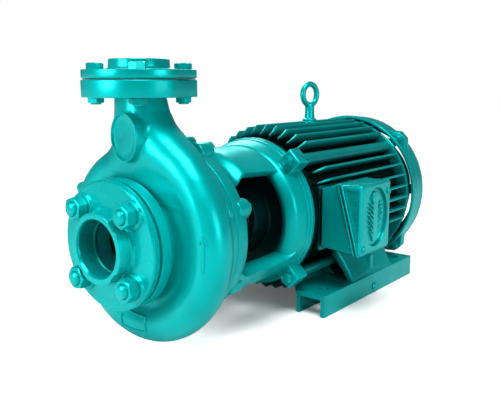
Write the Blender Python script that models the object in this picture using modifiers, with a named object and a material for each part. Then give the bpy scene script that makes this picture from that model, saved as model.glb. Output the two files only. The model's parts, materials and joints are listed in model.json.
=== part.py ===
"""Centrifugal water pump, close-coupled to a foot-mounted, fan-cooled electric motor.

Metres, +Z up. X runs along the shaft from the suction flange to the fan, Y is across, and Z = 0 is the
floor under the motor's feet. Every piece is laid out from the suction end (X = 0) and the shaft's centre
line (Y = 0). The empty "pump_origin" then moves it all, so that the world origin is at the middle of the
object's box, on the floor. Angles around the shaft start at the top and turn towards +Y.
"""

import math

import bmesh
import bpy
import numpy as np
from mathutils import Matrix, Vector

# ---------------------------------------------------------------- driving dimensions
GAP = 0.0003                 # between pieces that touch
SHAFT_HEIGHT = 0.132         # floor to shaft
FOOT_HALF_WIDTH = 0.1243     # shaft to the outer side of a foot
TERMINAL_REACH = 0.165       # shaft to the terminal lid's outer face
OVERALL_LENGTH = 0.6         # suction stud ends to the back of the fan cowl

SUCTION_BORE = 0.0324        # radii, as all the round sizes below
SUCTION_FLANGE = 0.076
SUCTION_BOLT_CIRCLE = 0.0572
STUD = 0.008
STUD_NUT_FLATS = 0.024       # across flats
DISCHARGE_X = 0.075
DISCHARGE_TOP = 0.338
DISCHARGE_FLANGE = 0.065
DISCHARGE_BORE = 0.0215
DISCHARGE_BOLT_CIRCLE = 0.0492
BOLT = 0.006
BOLT_FLATS = 0.0175

SCROLL_X = 0.071             # plane of the scroll's crest
SCROLL_START = 0.110         # crest radius after the tongue
SCROLL_GROWTH = 0.022        # how much the crest radius gains on the way round
COVER_X = 0.120              # joint between the volute and the cover
REAR_FLANGE = 0.107
COVER_RIM = 0.0906
CASING_BOLTS = [(0.103, -19), (0.097, 53), (0.097, 173), (0.097, 291)]    # radius, angle round the shaft
CASING_BOLT_FLATS = 0.014
ARM_ANGLES = [113, 233]      # the two narrow arms
PLAIN_BOSSES = [(0.097, angle) for angle in ARM_ANGLES] + [(0.104, -4)]    # bosses with no bolt
BOSS = 0.0122
BOSS_END = 0.150
IMPELLER = 0.080

FRAME_FRONT = 0.285          # joint between the bracket and the motor frame
FRAME_REAR = 0.541
FRAME_BODY = 0.097
FRAME_BORE = 0.085
FIN_TIP = 0.121
FIN_PITCH = 8.5              # degrees
CORNER_ANGLES = [45, 135, 225, 315]
CORNER_BOLT_CIRCLE = 0.112
FOOT_X = (0.280, 0.550)
FOOT_HEIGHT = 0.0308
EYEBOLT_X = 0.4285
GLAND_CENTRE = (0.0, -0.1322)    # down, across
EARTH_SCREW = (0.422, 0.010)     # along, up
COWL_FRONT = 0.549
COWL = 0.122

ROUND = 28                   # facets of a large turned piece
SMALL_ROUND = 16
HOLE = 12

# ---------------------------------------------------------------- scene
for old in list(bpy.data.objects):
    bpy.data.objects.remove(old, do_unlink=True)
PARTS = bpy.data.collections.new("centrifugal_water_pump")
CUTTERS = bpy.data.collections.new("cutters")
for group in (PARTS, CUTTERS):
    bpy.context.scene.collection.children.link(group)


def empty(name, at, parent=None):
    holder = bpy.data.objects.new(name, None)
    holder.empty_display_size = 0.03
    holder.location = at
    holder.parent = parent
    PARTS.objects.link(holder)
    return holder


ORIGIN = empty("pump_origin", (-OVERALL_LENGTH / 2, (TERMINAL_REACH - FOOT_HALF_WIDTH) / 2, 0))
SHAFT_AXIS = empty("shaft_axis", (0, 0, SHAFT_HEIGHT), ORIGIN)
ALONG_X = Matrix.Rotation(math.pi / 2, 4, "Y")      # turns a piece built along Z to lie along the shaft


def finish(name, colour, roughness, metallic=0.0):
    material = bpy.data.materials.new(name)
    material.use_nodes = True
    shader = material.node_tree.nodes["Principled BSDF"]
    shader.inputs["Base Color"].default_value = (*colour, 1)
    shader.inputs["Roughness"].default_value = roughness
    shader.inputs["Metallic"].default_value = metallic
    material.diffuse_color = (*colour, 1)
    return material


PAINT = (0.0, 0.42, 0.39)
PAINT_DARK = (0.0, 0.20, 0.19)
STEEL = (0.55, 0.56, 0.57)
IRON = (0.22, 0.22, 0.22)
BRONZE = (0.45, 0.28, 0.12)
COPPER = (0.55, 0.22, 0.09)
RUBBER = (0.03, 0.03, 0.03)
PLASTIC = (0.05, 0.05, 0.05)


# ---------------------------------------------------------------- building blocks
def place(name, mesh, look, matrix, cutter=False, parent=None):
    """An object holding mesh, at matrix in its parent's space; a cutter is hidden from renders."""
    piece = bpy.data.objects.new(name, mesh)
    (CUTTERS if cutter else PARTS).objects.link(piece)
    piece.parent = parent or SHAFT_AXIS
    piece.matrix_local = matrix
    if cutter:
        piece.hide_render = True
        piece.display_type = "WIRE"
    else:
        mesh.materials.append(finish(name, *look))
        mesh.shade_smooth()
        mesh.set_sharp_from_angle(angle=math.radians(35))
    return piece


def mesh_of(bm, name):
    bmesh.ops.recalc_face_normals(bm, faces=bm.faces)
    mesh = bpy.data.meshes.new(name)
    bm.to_mesh(mesh)
    bm.free()
    return mesh


def turned(name, profile, look=None, steps=ROUND, matrix=ALONG_X, parent=None):
    """A profile of (distance along the axis, radius) turned round it. It is a closed ring, or ends on the axis."""
    points = [(radius, along) for along, radius in profile]
    rolled = points[1:] + points[:1]
    area = sum(a[0] * b[1] - b[0] * a[1] for a, b in zip(points, rolled))
    if area > 0:                                    # the outer side has to run from top to bottom
        points.reverse()
    on_axis = [i for i, p in enumerate(points) if p[0] == 0]
    if on_axis:                                     # an open profile that starts and ends on the axis
        first = next(i for i in on_axis if points[i - 1][0] == 0)
        points = points[first:] + points[:first]
    mesh = bpy.data.meshes.new(name)
    edges = [(i, i + 1) for i in range(len(points) - 1)]
    if not on_axis:
        edges.append((len(points) - 1, 0))
    mesh.from_pydata([(radius, 0, along) for radius, along in points], edges, [])
    piece = place(name, mesh, look, matrix, cutter=look is None, parent=parent)
    screw = piece.modifiers.new("turn", "SCREW")
    screw.axis = "Z"
    screw.steps = screw.render_steps = steps
    screw.use_merge_vertices = True
    screw.merge_threshold = 0.00001
    screw.use_smooth_shade = False
    return piece


def rod(name, start, end, radius, look=None, sides=HOLE, matrix=ALONG_X, centre=(0, 0), parent=None, turn=0):
    """A straight bar between two distances along the axis, its centre (across, up) off the axis."""
    bm = bmesh.new()
    length = end - start
    bmesh.ops.create_cone(bm, cap_ends=True, segments=sides, radius1=radius, radius2=radius, depth=length)
    bmesh.ops.rotate(bm, verts=bm.verts, matrix=Matrix.Rotation(turn, 3, "Z"))
    shift = Matrix.Translation((centre[0], centre[1], (start + end) / 2))
    return place(name, mesh_of(bm, name), look, matrix @ shift, cutter=look is None, parent=parent)


def block(name, low, high, look=None, parent=None):
    """A box between two corners, in its parent's space."""
    bm = bmesh.new()
    bmesh.ops.create_cube(bm, size=1)
    size = Vector(high) - Vector(low)
    bmesh.ops.scale(bm, vec=size, verts=bm.verts)
    middle = Matrix.Translation((Vector(high) + Vector(low)) / 2)
    return place(name, mesh_of(bm, name), look, middle, cutter=look is None, parent=parent or ORIGIN)


def slab(name, outline, thickness, matrix, look=None, parent=None):
    """A flat outline of (x, y) points given a thickness, its middle plane at matrix."""
    curve = bpy.data.curves.new(name, "CURVE")
    curve.dimensions = "2D"
    curve.fill_mode = "BOTH"
    curve.extrude = thickness / 2
    spline = curve.splines.new("POLY")
    spline.points.add(len(outline) - 1)
    for point, (x, y) in zip(spline.points, outline):
        point.co = (x, y, 0, 1)
    spline.use_cyclic_u = True
    drawn = bpy.data.objects.new(name, curve)
    PARTS.objects.link(drawn)
    mesh = realised(drawn)
    return place(name, mesh, look, matrix, cutter=look is None, parent=parent)


def realised(drawn):
    """The mesh that a curve object makes, its caps welded on; the curve is removed."""
    bpy.context.view_layer.update()
    mesh = bpy.data.meshes.new_from_object(drawn.evaluated_get(bpy.context.evaluated_depsgraph_get()))
    bm = bmesh.new()
    bm.from_mesh(mesh)
    bmesh.ops.remove_doubles(bm, verts=bm.verts, dist=0.00001)
    bmesh.ops.recalc_face_normals(bm, faces=bm.faces)
    bm.to_mesh(mesh)
    bm.free()
    bpy.data.objects.remove(drawn, do_unlink=True)
    return mesh


def wire(name, points, radius, look, closed=False, matrix=Matrix.Identity(4), parent=None, sides=2):
    """A round wire along a list of points."""
    curve = bpy.data.curves.new(name, "CURVE")
    curve.dimensions = "3D"
    curve.bevel_depth = radius
    curve.bevel_resolution = sides
    curve.use_fill_caps = True
    spline = curve.splines.new("POLY")
    spline.points.add(len(points) - 1)
    for point, at in zip(spline.points, points):
        point.co = (*at, 1)
    spline.use_cyclic_u = closed
    drawn = bpy.data.objects.new(name, curve)
    PARTS.objects.link(drawn)
    mesh = realised(drawn)
    return place(name, mesh, look, matrix, cutter=look is None, parent=parent)


def loft(name, rings, closed_round=False):
    """A cutter skinned over rings with the same number of points; closed_round joins the last to the first."""
    bm = bmesh.new()
    rows = [[bm.verts.new(point) for point in ring] for ring in rings]
    pairs = list(zip(rows, rows[1:]))
    if closed_round:
        pairs.append((rows[-1], rows[0]))
    for row, following in pairs:
        for i in range(len(row)):
            j = (i + 1) % len(row)
            bm.faces.new((row[i], row[j], following[j], following[i]))
    if not closed_round:
        bm.faces.new(rows[0])
        bm.faces.new(list(reversed(rows[-1])))
    return place(name, mesh_of(bm, name), None, Matrix.Identity(4), cutter=True)


def combine(piece, operation, others, solver="EXACT"):
    """Adds or removes other meshes, one Boolean each."""
    for other in others:
        step = piece.modifiers.new(other.name, "BOOLEAN")
        step.operation = operation
        step.solver = solver
        step.object = other
    return piece


def around(radius, degrees):
    """(local x, local y) of a point on a circle round the shaft, for a piece turned by ALONG_X."""
    angle = math.radians(degrees)
    return (-radius * math.cos(angle), radius * math.sin(angle))


def on_circle(radius, degrees):
    """(y, z) from the shaft of a point on a circle round it."""
    angle = math.radians(degrees)
    return (radius * math.sin(angle), radius * math.cos(angle))


def radial(degrees, along=0.0):
    """A frame whose x runs along the shaft and whose y points outwards at an angle round it."""
    turn = Matrix.Rotation(-math.radians(degrees), 4, "X") @ Matrix.Rotation(math.pi / 2, 4, "X")
    return Matrix.Translation((along, 0, 0)) @ turn


def hexagon(flats):
    return flats / math.sqrt(3)


# ---------------------------------------------------------------- volute casing
def crest(degrees):
    """Radius of the scroll's crest, growing smoothly from the tongue round to the neck."""
    t = min(max((degrees - 80) / 200, 0), 1)
    return SCROLL_START + SCROLL_GROWTH * t * t * (3 - 2 * t)


def scroll(name, inset, root_front, root_rear, hub, front, rear, arc=4, step=15):
    """The scroll as a ring of sections round the shaft: front quarter, crest, rear quarter, hub."""
    rings = []
    for degrees in range(30, 390, step):
        top = crest(degrees) - inset
        section = [(SCROLL_X - front, hub)]
        for k in range(arc):
            t = math.pi / 2 * k / (arc - 1)
            along = SCROLL_X - front * math.cos(t)
            section.append((along, root_front + (top - root_front) * math.sin(t)))
        for k in range(1, arc):
            t = math.pi / 2 * k / (arc - 1)
            along = SCROLL_X + rear * math.sin(t)
            section.append((along, root_rear + (top - root_rear) * math.cos(t)))
        section.append((SCROLL_X + rear, hub))
        rings.append([(along, *on_circle(radius, degrees)) for along, radius in section])
    return loft(name, rings, closed_round=True)


PAD_HEIGHT = 0.2525          # middle of the round pad on the neck
NECK_LEVELS = [              # height, centre across, half width across, half width along the shaft
    (0.298, -0.0005, 0.0275, 0.028),
    (0.280, -0.003, 0.032, 0.028),
    (0.266, -0.006, 0.0395, 0.028),
    (0.252, -0.012, 0.048, 0.028),
    (0.234, -0.017, 0.060, 0.028),
    (0.212, -0.0185, 0.0685, 0.027),
]


def neck(name, wall, top, sides=16):
    """The discharge neck: ellipses that widen down from the flange into the scroll."""
    levels = [(top, *NECK_LEVELS[0][1:])] + NECK_LEVELS[1:]
    rings = []
    for height, across, half_y, half_x in levels:
        if wall:
            half_y, half_x = min(half_y, 0.034 + DISCHARGE_BORE / 2) - wall, DISCHARGE_BORE
        if wall and height == top:
            half_y = DISCHARGE_BORE
        angles = [2 * math.pi * k / sides for k in range(sides)]
        rings.append(
            [
                (DISCHARGE_X + half_x * math.cos(a), across + half_y * math.sin(a), height - SHAFT_HEIGHT)
                for a in angles
            ]
        )
    return loft(name, rings)


def upright(x=DISCHARGE_X, y=0.0):
    """A frame at the floor whose axis points up, seen from the shaft axis."""
    return Matrix.Translation((x, y, -SHAFT_HEIGHT))


DISCHARGE_LEVELS = {"neck": 0.2958, "joint": 0.3150, "gasket": 0.3163, "plate": 0.3262}
CASING_FLANGE_FRONT = 0.0313


def make_volute():
    body = turned("volute_casing", [
        (CASING_FLANGE_FRONT, 0.025), (CASING_FLANGE_FRONT, SUCTION_FLANGE), (0.046, SUCTION_FLANGE),
        (0.049, 0.073), (0.051, 0.066), (0.056, 0.064), (0.056, 0.025),
    ], (PAINT, 0.35))
    pad_turn = Matrix.Translation((0.060, -0.014, PAD_HEIGHT - SHAFT_HEIGHT))
    pad_turn = pad_turn @ Matrix.Rotation(math.radians(-11), 4, "Z") @ ALONG_X
    solids = [
        scroll("scroll_outside", 0, 0.072, 0.104, 0.025, 0.020, 0.034),
        rod("rear_flange", 0.098, COVER_X - GAP, REAR_FLANGE, sides=ROUND),
        neck("neck_outside", 0, DISCHARGE_LEVELS["neck"] + 0.005),
        rod("discharge_flange", DISCHARGE_LEVELS["neck"], DISCHARGE_LEVELS["joint"], DISCHARGE_FLANGE,
            sides=ROUND, matrix=upright()),
        rod("neck_pad", -0.018, 0.010, 0.027, sides=SMALL_ROUND, matrix=pad_turn),
    ]
    for n, place_round in enumerate(CASING_BOLTS + PLAIN_BOSSES):
        solids.append(rod(f"casing_boss_{n}", 0.106, COVER_X - 0.001, BOSS, centre=around(*place_round)))
    combine(body, "UNION", solids, "MANIFOLD")
    hollows = [
        scroll("scroll_inside", 0.008, 0.078, 0.098, 0.055, 0.012, 0.026, arc=3, step=30),
        neck("neck_inside", 0.006, DISCHARGE_LEVELS["joint"] + 0.01),
        rod("suction_bore", 0.02, 0.058, SUCTION_BORE, sides=SMALL_ROUND),
        rod("eye_recess", 0.050, 0.065, 0.037, sides=SMALL_ROUND),
        rod("impeller_chamber", 0.0595, 0.13, 0.0866, sides=ROUND),
    ]
    hollows += [rod(f"stud_hole_{n}", 0.02, 0.0475, STUD + 0.0005, centre=around(SUCTION_BOLT_CIRCLE, a))
                for n, a in enumerate(CORNER_ANGLES)]
    hollows += [rod(f"casing_bolt_hole_{n}", 0.109, 0.13, 0.0056, sides=8, centre=around(*place_round))
                for n, place_round in enumerate(CASING_BOLTS)]
    hollows += discharge_holes("volute", 0.28, 0.33)
    combine(body, "DIFFERENCE", hollows, "MANIFOLD")


def discharge_points():
    return [(on_circle(DISCHARGE_BOLT_CIRCLE, a)) for a in CORNER_ANGLES]


def discharge_holes(owner, low, high):
    return [rod(f"{owner}_hole_{n}", low, high, BOLT + 0.0005, centre=c, matrix=upright())
            for n, c in enumerate(discharge_points())]


# ---------------------------------------------------------------- pipe flanges
def make_suction_flange():
    plate = turned("suction_companion_flange", [
        (0.003, 0.0335), (0.003, 0.0405), (0.018, 0.0415), (0.0204, 0.0445), (0.0204, 0.0725),
        (0.0300, 0.0725), (0.0300, 0.0300), (0.012, 0.0300), (0.006, 0.0315),
    ], (PAINT, 0.35))
    pads, holes = [], []
    for n, angle in enumerate(CORNER_ANGLES):
        centre = around(SUCTION_BOLT_CIRCLE, angle)
        pads.append(rod(f"stud_pad_{n}", 0.0177, 0.024, 0.0165, centre=centre))
        holes.append(rod(f"flange_stud_hole_{n}", 0.01, 0.04, STUD + 0.0005, centre=centre))
    combine(plate, "UNION", pads)
    combine(plate, "DIFFERENCE", holes)
    gasket = turned("suction_gasket", [
        (0.0303, 0.034), (0.0303, 0.0715), (0.0310, 0.0715), (0.0310, 0.034),
    ], (RUBBER, 0.9), steps=SMALL_ROUND)
    combine(gasket, "DIFFERENCE", holes)
    for n, angle in enumerate(CORNER_ANGLES):
        centre = around(SUCTION_BOLT_CIRCLE, angle)
        rod(f"suction_stud_{n + 1}", 0.0, 0.0465, STUD, (STEEL, 0.35, 0.8), centre=centre, sides=12)
        nut = rod(f"suction_nut_{n + 1}", 0.0044, 0.0174, hexagon(STUD_NUT_FLATS), (PAINT, 0.4),
                  sides=6, centre=centre)
        combine(nut, "DIFFERENCE", [rod(f"nut_bore_{n}", 0, 0.03, STUD + 0.0005, centre=centre)])


def make_discharge_flange():
    joint, gasket_top, plate_top = (DISCHARGE_LEVELS[k] for k in ("joint", "gasket", "plate"))
    plate = turned("discharge_companion_flange", [
        (gasket_top + GAP, 0.022), (gasket_top + GAP, DISCHARGE_FLANGE - 0.0005),
        (plate_top, DISCHARGE_FLANGE - 0.0005), (plate_top, 0.036), (plate_top + 0.002, 0.0345),
        (DISCHARGE_TOP, 0.0342), (DISCHARGE_TOP, 0.026), (DISCHARGE_TOP - 0.004, 0.0235), (0.330, 0.022),
    ], (PAINT, 0.35), matrix=upright())
    combine(plate, "DIFFERENCE", discharge_holes("plate", 0.31, 0.34))
    gasket = turned("discharge_gasket", [
        (joint + GAP, 0.0225), (joint + GAP, DISCHARGE_FLANGE - 0.0015),
        (gasket_top, DISCHARGE_FLANGE - 0.0015), (gasket_top, 0.0225),
    ], (RUBBER, 0.9), steps=32, matrix=upright())
    combine(gasket, "DIFFERENCE", discharge_holes("gasket", 0.31, 0.34))
    for n, centre in enumerate(discharge_points()):
        turn = math.radians(20 + 25 * n)
        bolt = rod(f"discharge_bolt_{n + 1}", plate_top + GAP, 0.3338, hexagon(BOLT_FLATS), (PAINT, 0.4),
                   sides=6, centre=centre, matrix=upright(), turn=turn)
        combine(bolt, "UNION", [
            rod(f"bolt_shank_{n}", 0.2875, 0.330, BOLT, sides=12, centre=centre, matrix=upright()),
            rod(f"bolt_nut_{n}", 0.2893, 0.2955, hexagon(BOLT_FLATS), sides=6, centre=centre,
                matrix=upright(), turn=-turn),
        ])


# ---------------------------------------------------------------- wet end: impeller, seal, cover
def make_impeller():
    rear = turned("impeller", [
        (0.097, 0.0104), (0.097, 0.016), (0.089, 0.020), (0.087, IMPELLER), (0.083, IMPELLER),
        (0.083, 0.034), (0.078, 0.018), (0.069, 0.0135), (0.067, 0.0104),
    ], (BRONZE, 0.4, 0.8), steps=SMALL_ROUND)
    front = turned("impeller_front_shroud", [
        (0.0515, 0.0295), (0.0515, 0.034), (0.060, 0.034), (0.0615, 0.042), (0.064, IMPELLER),
        (0.068, IMPELLER), (0.066, 0.043), (0.063, 0.032), (0.059, 0.0295),
    ], steps=SMALL_ROUND)
    vanes = []
    inner, outer, wrap, half = 0.036, IMPELLER - 0.0005, math.radians(75), 0.002
    for n in range(6):
        start = 2 * math.pi * n / 6
        centres = []
        for k in range(5):
            radius = inner + (outer - inner) * k / 4
            centres.append((radius, start - wrap * k / 4))
        side = [(r * math.cos(a + half / r), r * math.sin(a + half / r)) for r, a in centres]
        back = [(r * math.cos(a - half / r), r * math.sin(a - half / r)) for r, a in reversed(centres)]
        vanes.append(slab(f"vane_{n}", side + back, 0.020, ALONG_X @ Matrix.Translation((0, 0, 0.0752))))
    keyway = block("impeller_keyway", (0.064, -0.0022, 0.008), (0.100, 0.0022, 0.0122), parent=SHAFT_AXIS)
    combine(rear, "UNION", vanes + [front])
    combine(rear, "DIFFERENCE", [keyway])
    key_low, key_high = (0.070, -0.002, 0.0082), (0.092, 0.002, 0.0119)
    block("impeller_key", key_low, key_high, (STEEL, 0.4, 0.8), parent=SHAFT_AXIS)
    nut = rod("impeller_nut", 0.054, 0.0665, hexagon(0.022), (STEEL, 0.35, 0.9), sides=6)
    combine(nut, "DIFFERENCE", [rod("impeller_nut_bore", 0.05, 0.07, 0.0079)])


def make_seal_and_cover():
    turned("seal_rotating_head", [
        (0.1045, 0.0124), (0.1045, 0.019), (0.1115, 0.019), (0.1115, 0.0124),
    ], (IRON, 0.4, 0.3), steps=SMALL_ROUND)
    turns, radius, wire_radius = 2.5, 0.0165, 0.0010
    coil = [(radius * math.cos(a), radius * math.sin(a), 0.0985 + 0.0046 * a / (2 * math.pi * turns))
            for a in np.linspace(0, 2 * math.pi * turns, 31)]
    wire("seal_spring", coil, wire_radius, (STEEL, 0.3, 0.9), matrix=ALONG_X, sides=1)
    turned("seal_seat", [
        (0.1118, 0.0130), (0.1118, 0.0207), (0.1190, 0.0207), (0.1190, 0.0130),
    ], (IRON, 0.3, 0.2), steps=SMALL_ROUND)
    turned("casing_cover", [
        (0.1105, 0.0210), (0.1105, 0.0300), (0.1135, 0.0340), (0.1135, 0.0855), (0.1213, 0.0855),
        (0.1213, COVER_RIM), (0.1270, COVER_RIM), (0.1270, 0.0340), (0.1400, 0.0280), (0.1420, 0.0150),
        (0.1195, 0.0150), (0.1195, 0.0210),
    ], (PAINT, 0.4))
    turned("casing_gasket", [
        (COVER_X, 0.0870), (COVER_X, COVER_RIM), (0.1210, COVER_RIM), (0.1210, 0.0870),
    ], (RUBBER, 0.9))


def make_shaft():
    turned("shaft", [
        (0.052, 0.0), (0.052, 0.0075), (0.068, 0.0075), (0.068, 0.0100), (0.0975, 0.0100), (0.0975, 0.0120),
        (0.160, 0.0120), (0.160, 0.0130), (0.226, 0.0130), (0.226, 0.0146), (0.256, 0.0146), (0.256, 0.0180),
        (0.330, 0.0180), (0.330, 0.0200), (0.480, 0.0200), (0.480, 0.0170), (0.522, 0.0170), (0.522, 0.0121),
        (0.552, 0.0121), (0.552, 0.0100), (0.588, 0.0100), (0.588, 0.0),
    ], (STEEL, 0.3, 0.9), steps=HOLE)
    keyway = block("shaft_keyway", (0.0698, -0.0022, 0.0080), (0.0922, 0.0022, 0.0130), parent=SHAFT_AXIS)
    combine(bpy.data.objects["shaft"], "DIFFERENCE", [keyway])
    turned("slinger_ring", [
        (0.168, 0.0136), (0.168, 0.020), (0.1745, 0.024), (0.1765, 0.046), (0.1790, 0.046),
        (0.1790, 0.022), (0.186, 0.018), (0.186, 0.0136),
    ], (RUBBER, 0.8), steps=SMALL_ROUND)


# ---------------------------------------------------------------- bracket between pump and motor
def make_bracket():
    dish = turned("motor_bracket", [
        (0.2275, 0.0365), (0.2275, 0.047), (0.2540, 0.052), (0.2560, 0.075), (0.2440, 0.079),
        (0.2450, 0.085), (0.2530, 0.095), (0.2720, 0.1015), (FRAME_FRONT - GAP, 0.1015),
        (FRAME_FRONT - GAP, 0.0845), (0.2660, 0.0845), (0.2620, 0.0550), (0.2520, 0.0365),
    ], (PAINT, 0.35))
    ring = turned("bracket_ring", [
        (0.1273, 0.080), (0.1273, COVER_RIM + 0.0012), (COVER_X + GAP, COVER_RIM + 0.0012),
        (COVER_X + GAP, REAR_FLANGE), (0.1440, REAR_FLANGE), (0.1480, 0.103), (0.1480, 0.080),
    ])
    solids = [ring]
    solids.append(arm("arm_top", 0, 0.066, 0.096, 0.010, 0.0865))
    for n, angle in enumerate(ARM_ANGLES):
        solids.append(arm(f"arm_side_{n}", angle, 0.0125, 0.103, 0.020, 0.105))
    for n, place_round in enumerate(CASING_BOLTS + PLAIN_BOSSES):
        start, stop = 0.1285 + 0.0002 * n, BOSS_END - (0.0003 * n if n >= len(CASING_BOLTS) else 0)
        solids.append(rod(f"bracket_boss_{n}", start, stop, BOSS, centre=around(*place_round)))
    for n, angle in enumerate(CORNER_ANGLES):
        lug = [(0.262, 0.090), (0.262, 0.124), (FRAME_FRONT - 0.001, 0.124), (FRAME_FRONT - 0.001, 0.090)]
        solids.append(slab(f"bracket_lug_{n}", lug, 0.030, radial(angle)))
    combine(dish, "UNION", solids)
    holes = [rod(f"bracket_hole_{n}", 0.11, 0.158, 0.0056, sides=8, centre=around(*place_round))
             for n, place_round in enumerate(CASING_BOLTS)]
    holes += [rod(f"lug_hole_{n}", 0.25, 0.29, 0.0046, sides=8, centre=around(CORNER_BOLT_CIRCLE, a))
              for n, a in enumerate(CORNER_ANGLES)]
    combine(dish, "DIFFERENCE", holes)
    for n, place_round in enumerate(CASING_BOLTS):
        centre = around(*place_round)
        bolt = rod(f"casing_bolt_{n + 1}", BOSS_END + GAP, BOSS_END + 0.0063, hexagon(CASING_BOLT_FLATS),
                   (PAINT, 0.4), sides=6, centre=centre)
        combine(bolt, "UNION", [rod(f"casing_bolt_shank_{n}", 0.1105, BOSS_END + 0.003, 0.005, sides=8,
                                    centre=centre)])
    for n, angle in enumerate(CORNER_ANGLES):
        bolt = rod(f"bracket_bolt_{n + 1}", 0.2552, 0.2617, hexagon(0.013), (PAINT, 0.4), sides=6,
                   centre=around(CORNER_BOLT_CIRCLE, angle))
        combine(bolt, "UNION", [rod(f"bracket_bolt_shank_{n}", 0.258, 0.300, 0.004, sides=8,
                                    centre=around(CORNER_BOLT_CIRCLE, angle))])


def arm(name, angle, half_width, top, thickness, front_top):
    """A curved bar from the front ring to the dish, its outside on a circle round the shaft."""
    steps = max(2, round(half_width / 0.012))
    spread = math.asin(half_width / top)
    rings = []
    for along, outer in ((0.135, front_top), (0.167, front_top), (0.176, top), (0.258, top - 0.003)):
        inner = outer - thickness
        angles = [math.radians(angle) + spread * (2 * k / steps - 1) for k in range(steps + 1)]
        ring = [(along, outer * math.sin(a), outer * math.cos(a)) for a in angles]
        ring += [(along, inner * math.sin(a), inner * math.cos(a)) for a in reversed(angles)]
        rings.append(ring)
    return loft(name, rings)


# ---------------------------------------------------------------- motor
def fin_angles():
    """Angle and front end of each cooling fin: none run through the feet or the bolt ridges."""
    fins = [(k * FIN_PITCH, 0.300) for k in range(-4, 5)]
    for k in range(7):
        angle = 56 + k * FIN_PITCH
        fins.append((angle, 0.300))
        fins.append((-angle, 0.388 if k > 1 else 0.300))
    fins += [(180 + k * FIN_PITCH, 0.300) for k in range(-3, 4)]
    return fins


def make_frame():
    frame = turned("motor_frame", [
        (FRAME_FRONT, FRAME_BORE), (FRAME_FRONT, 0.104), (0.294, 0.104), (0.300, FRAME_BODY),
        (FRAME_REAR, FRAME_BODY), (FRAME_REAR, FRAME_BORE),
    ], (PAINT_DARK, 0.4))
    solids = []
    for n, (angle, front) in enumerate(fin_angles()):
        fin = [(front, 0.092), (front, 0.108), (front + 0.016, FIN_TIP), (FRAME_REAR - 0.002, FIN_TIP),
               (FRAME_REAR - 0.002, 0.092)]
        solids.append(slab(f"fin_{n}", fin, 0.0032, radial(angle)))
    for n, angle in enumerate(CORNER_ANGLES):
        solids.append(rod(f"bolt_ridge_{n}", FRAME_FRONT + 0.001, FRAME_REAR - 0.001, 0.009, sides=12,
                          centre=around(CORNER_BOLT_CIRCLE - 0.004, angle)))
    solids += foot_solids()
    solids.append(slab("terminal_pad", [(0.298, 0.088), (0.298, 0.1025), (0.385, 0.1025), (0.385, 0.088)],
                       0.094, radial(270)))
    solids.append(rod("eyebolt_boss", 0.225, SHAFT_HEIGHT + FIN_TIP, 0.014, sides=HOLE,
                      matrix=upright(EYEBOLT_X)))
    combine(frame, "UNION", solids)
    holes = [rod(f"frame_front_hole_{n}", 0.28, 0.303, 0.0046, sides=8,
                 centre=around(CORNER_BOLT_CIRCLE, a)) for n, a in enumerate(CORNER_ANGLES)]
    holes.append(rod("stator_bore", FRAME_FRONT - 0.01, FRAME_REAR + 0.01, FRAME_BORE + 0.0005, sides=ROUND))
    holes.append(rod("eyebolt_hole", 0.234, 0.27, 0.0056, sides=12, matrix=upright(EYEBOLT_X)))
    holes.append(rod("lead_hole", -0.108, -0.070, 0.014, matrix=Matrix.Translation((0.341, 0, -0.002))
                     @ Matrix.Rotation(-math.pi / 2, 4, "X")))
    outwards = earth_axis()
    holes.append(rod("earth_hole", 0.110, 0.130, 0.0023, sides=8, matrix=outwards))
    combine(frame, "DIFFERENCE", holes + foot_hollows())
    screw = rod("earth_screw", FOOT_HALF_WIDTH + GAP, FOOT_HALF_WIDTH + 0.0025, 0.0040, (STEEL, 0.35, 0.8),
                sides=12, matrix=outwards)
    combine(screw, "UNION", [rod("earth_screw_shank", 0.1190, 0.1252, 0.0019, sides=8, matrix=outwards)])


def earth_axis():
    """A frame whose axis points out through the near foot's side, at the earth screw."""
    along, up = EARTH_SCREW
    return Matrix.Translation((along, 0, up - SHAFT_HEIGHT)) @ Matrix.Rotation(math.pi / 2, 4, "X")


def foot_solids():
    """Each foot: a rail, a plate that runs in under the body, and a web that slopes up to it."""
    floor = -SHAFT_HEIGHT
    front, rear = FOOT_X
    solids = []
    for side in (-1, 1):
        outer, inner, tuck = side * FOOT_HALF_WIDTH, side * 0.085, side * 0.058
        tag = "right" if side < 0 else "left"
        rail = [(outer, floor), (outer, floor + FOOT_HEIGHT), (tuck, floor + FOOT_HEIGHT),
                (tuck, floor + 0.025), (inner, floor + 0.025), (inner, floor)]
        solids.append(loft(f"foot_rail_{tag}", [[(x, y, z) for y, z in rail] for x in (front, rear)]))
        web = [(side * 0.1225, floor + 0.028), (side * 0.094, floor + 0.092), (side * 0.062, floor + 0.092),
               (side * 0.070, floor + 0.070), (side * 0.100, floor + 0.060), (side * 0.115, floor + 0.028)]
        solids.append(loft(f"foot_web_{tag}", [[(x, y, z) for y, z in web] for x in (0.363, 0.481)]))
        solids.append(block(f"foot_rib_{tag}", (0.418, min(side * 0.050, side * 0.118), 0.026),
                            (0.426, max(side * 0.050, side * 0.118), 0.060)))
        inner_web = sorted((side * 0.052, side * 0.060))
        low, high = (0.300, inner_web[0], 0.026), (0.535, inner_web[1], 0.066)
        solids.append(block(f"foot_inner_web_{tag}", low, high))
    return solids


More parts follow.
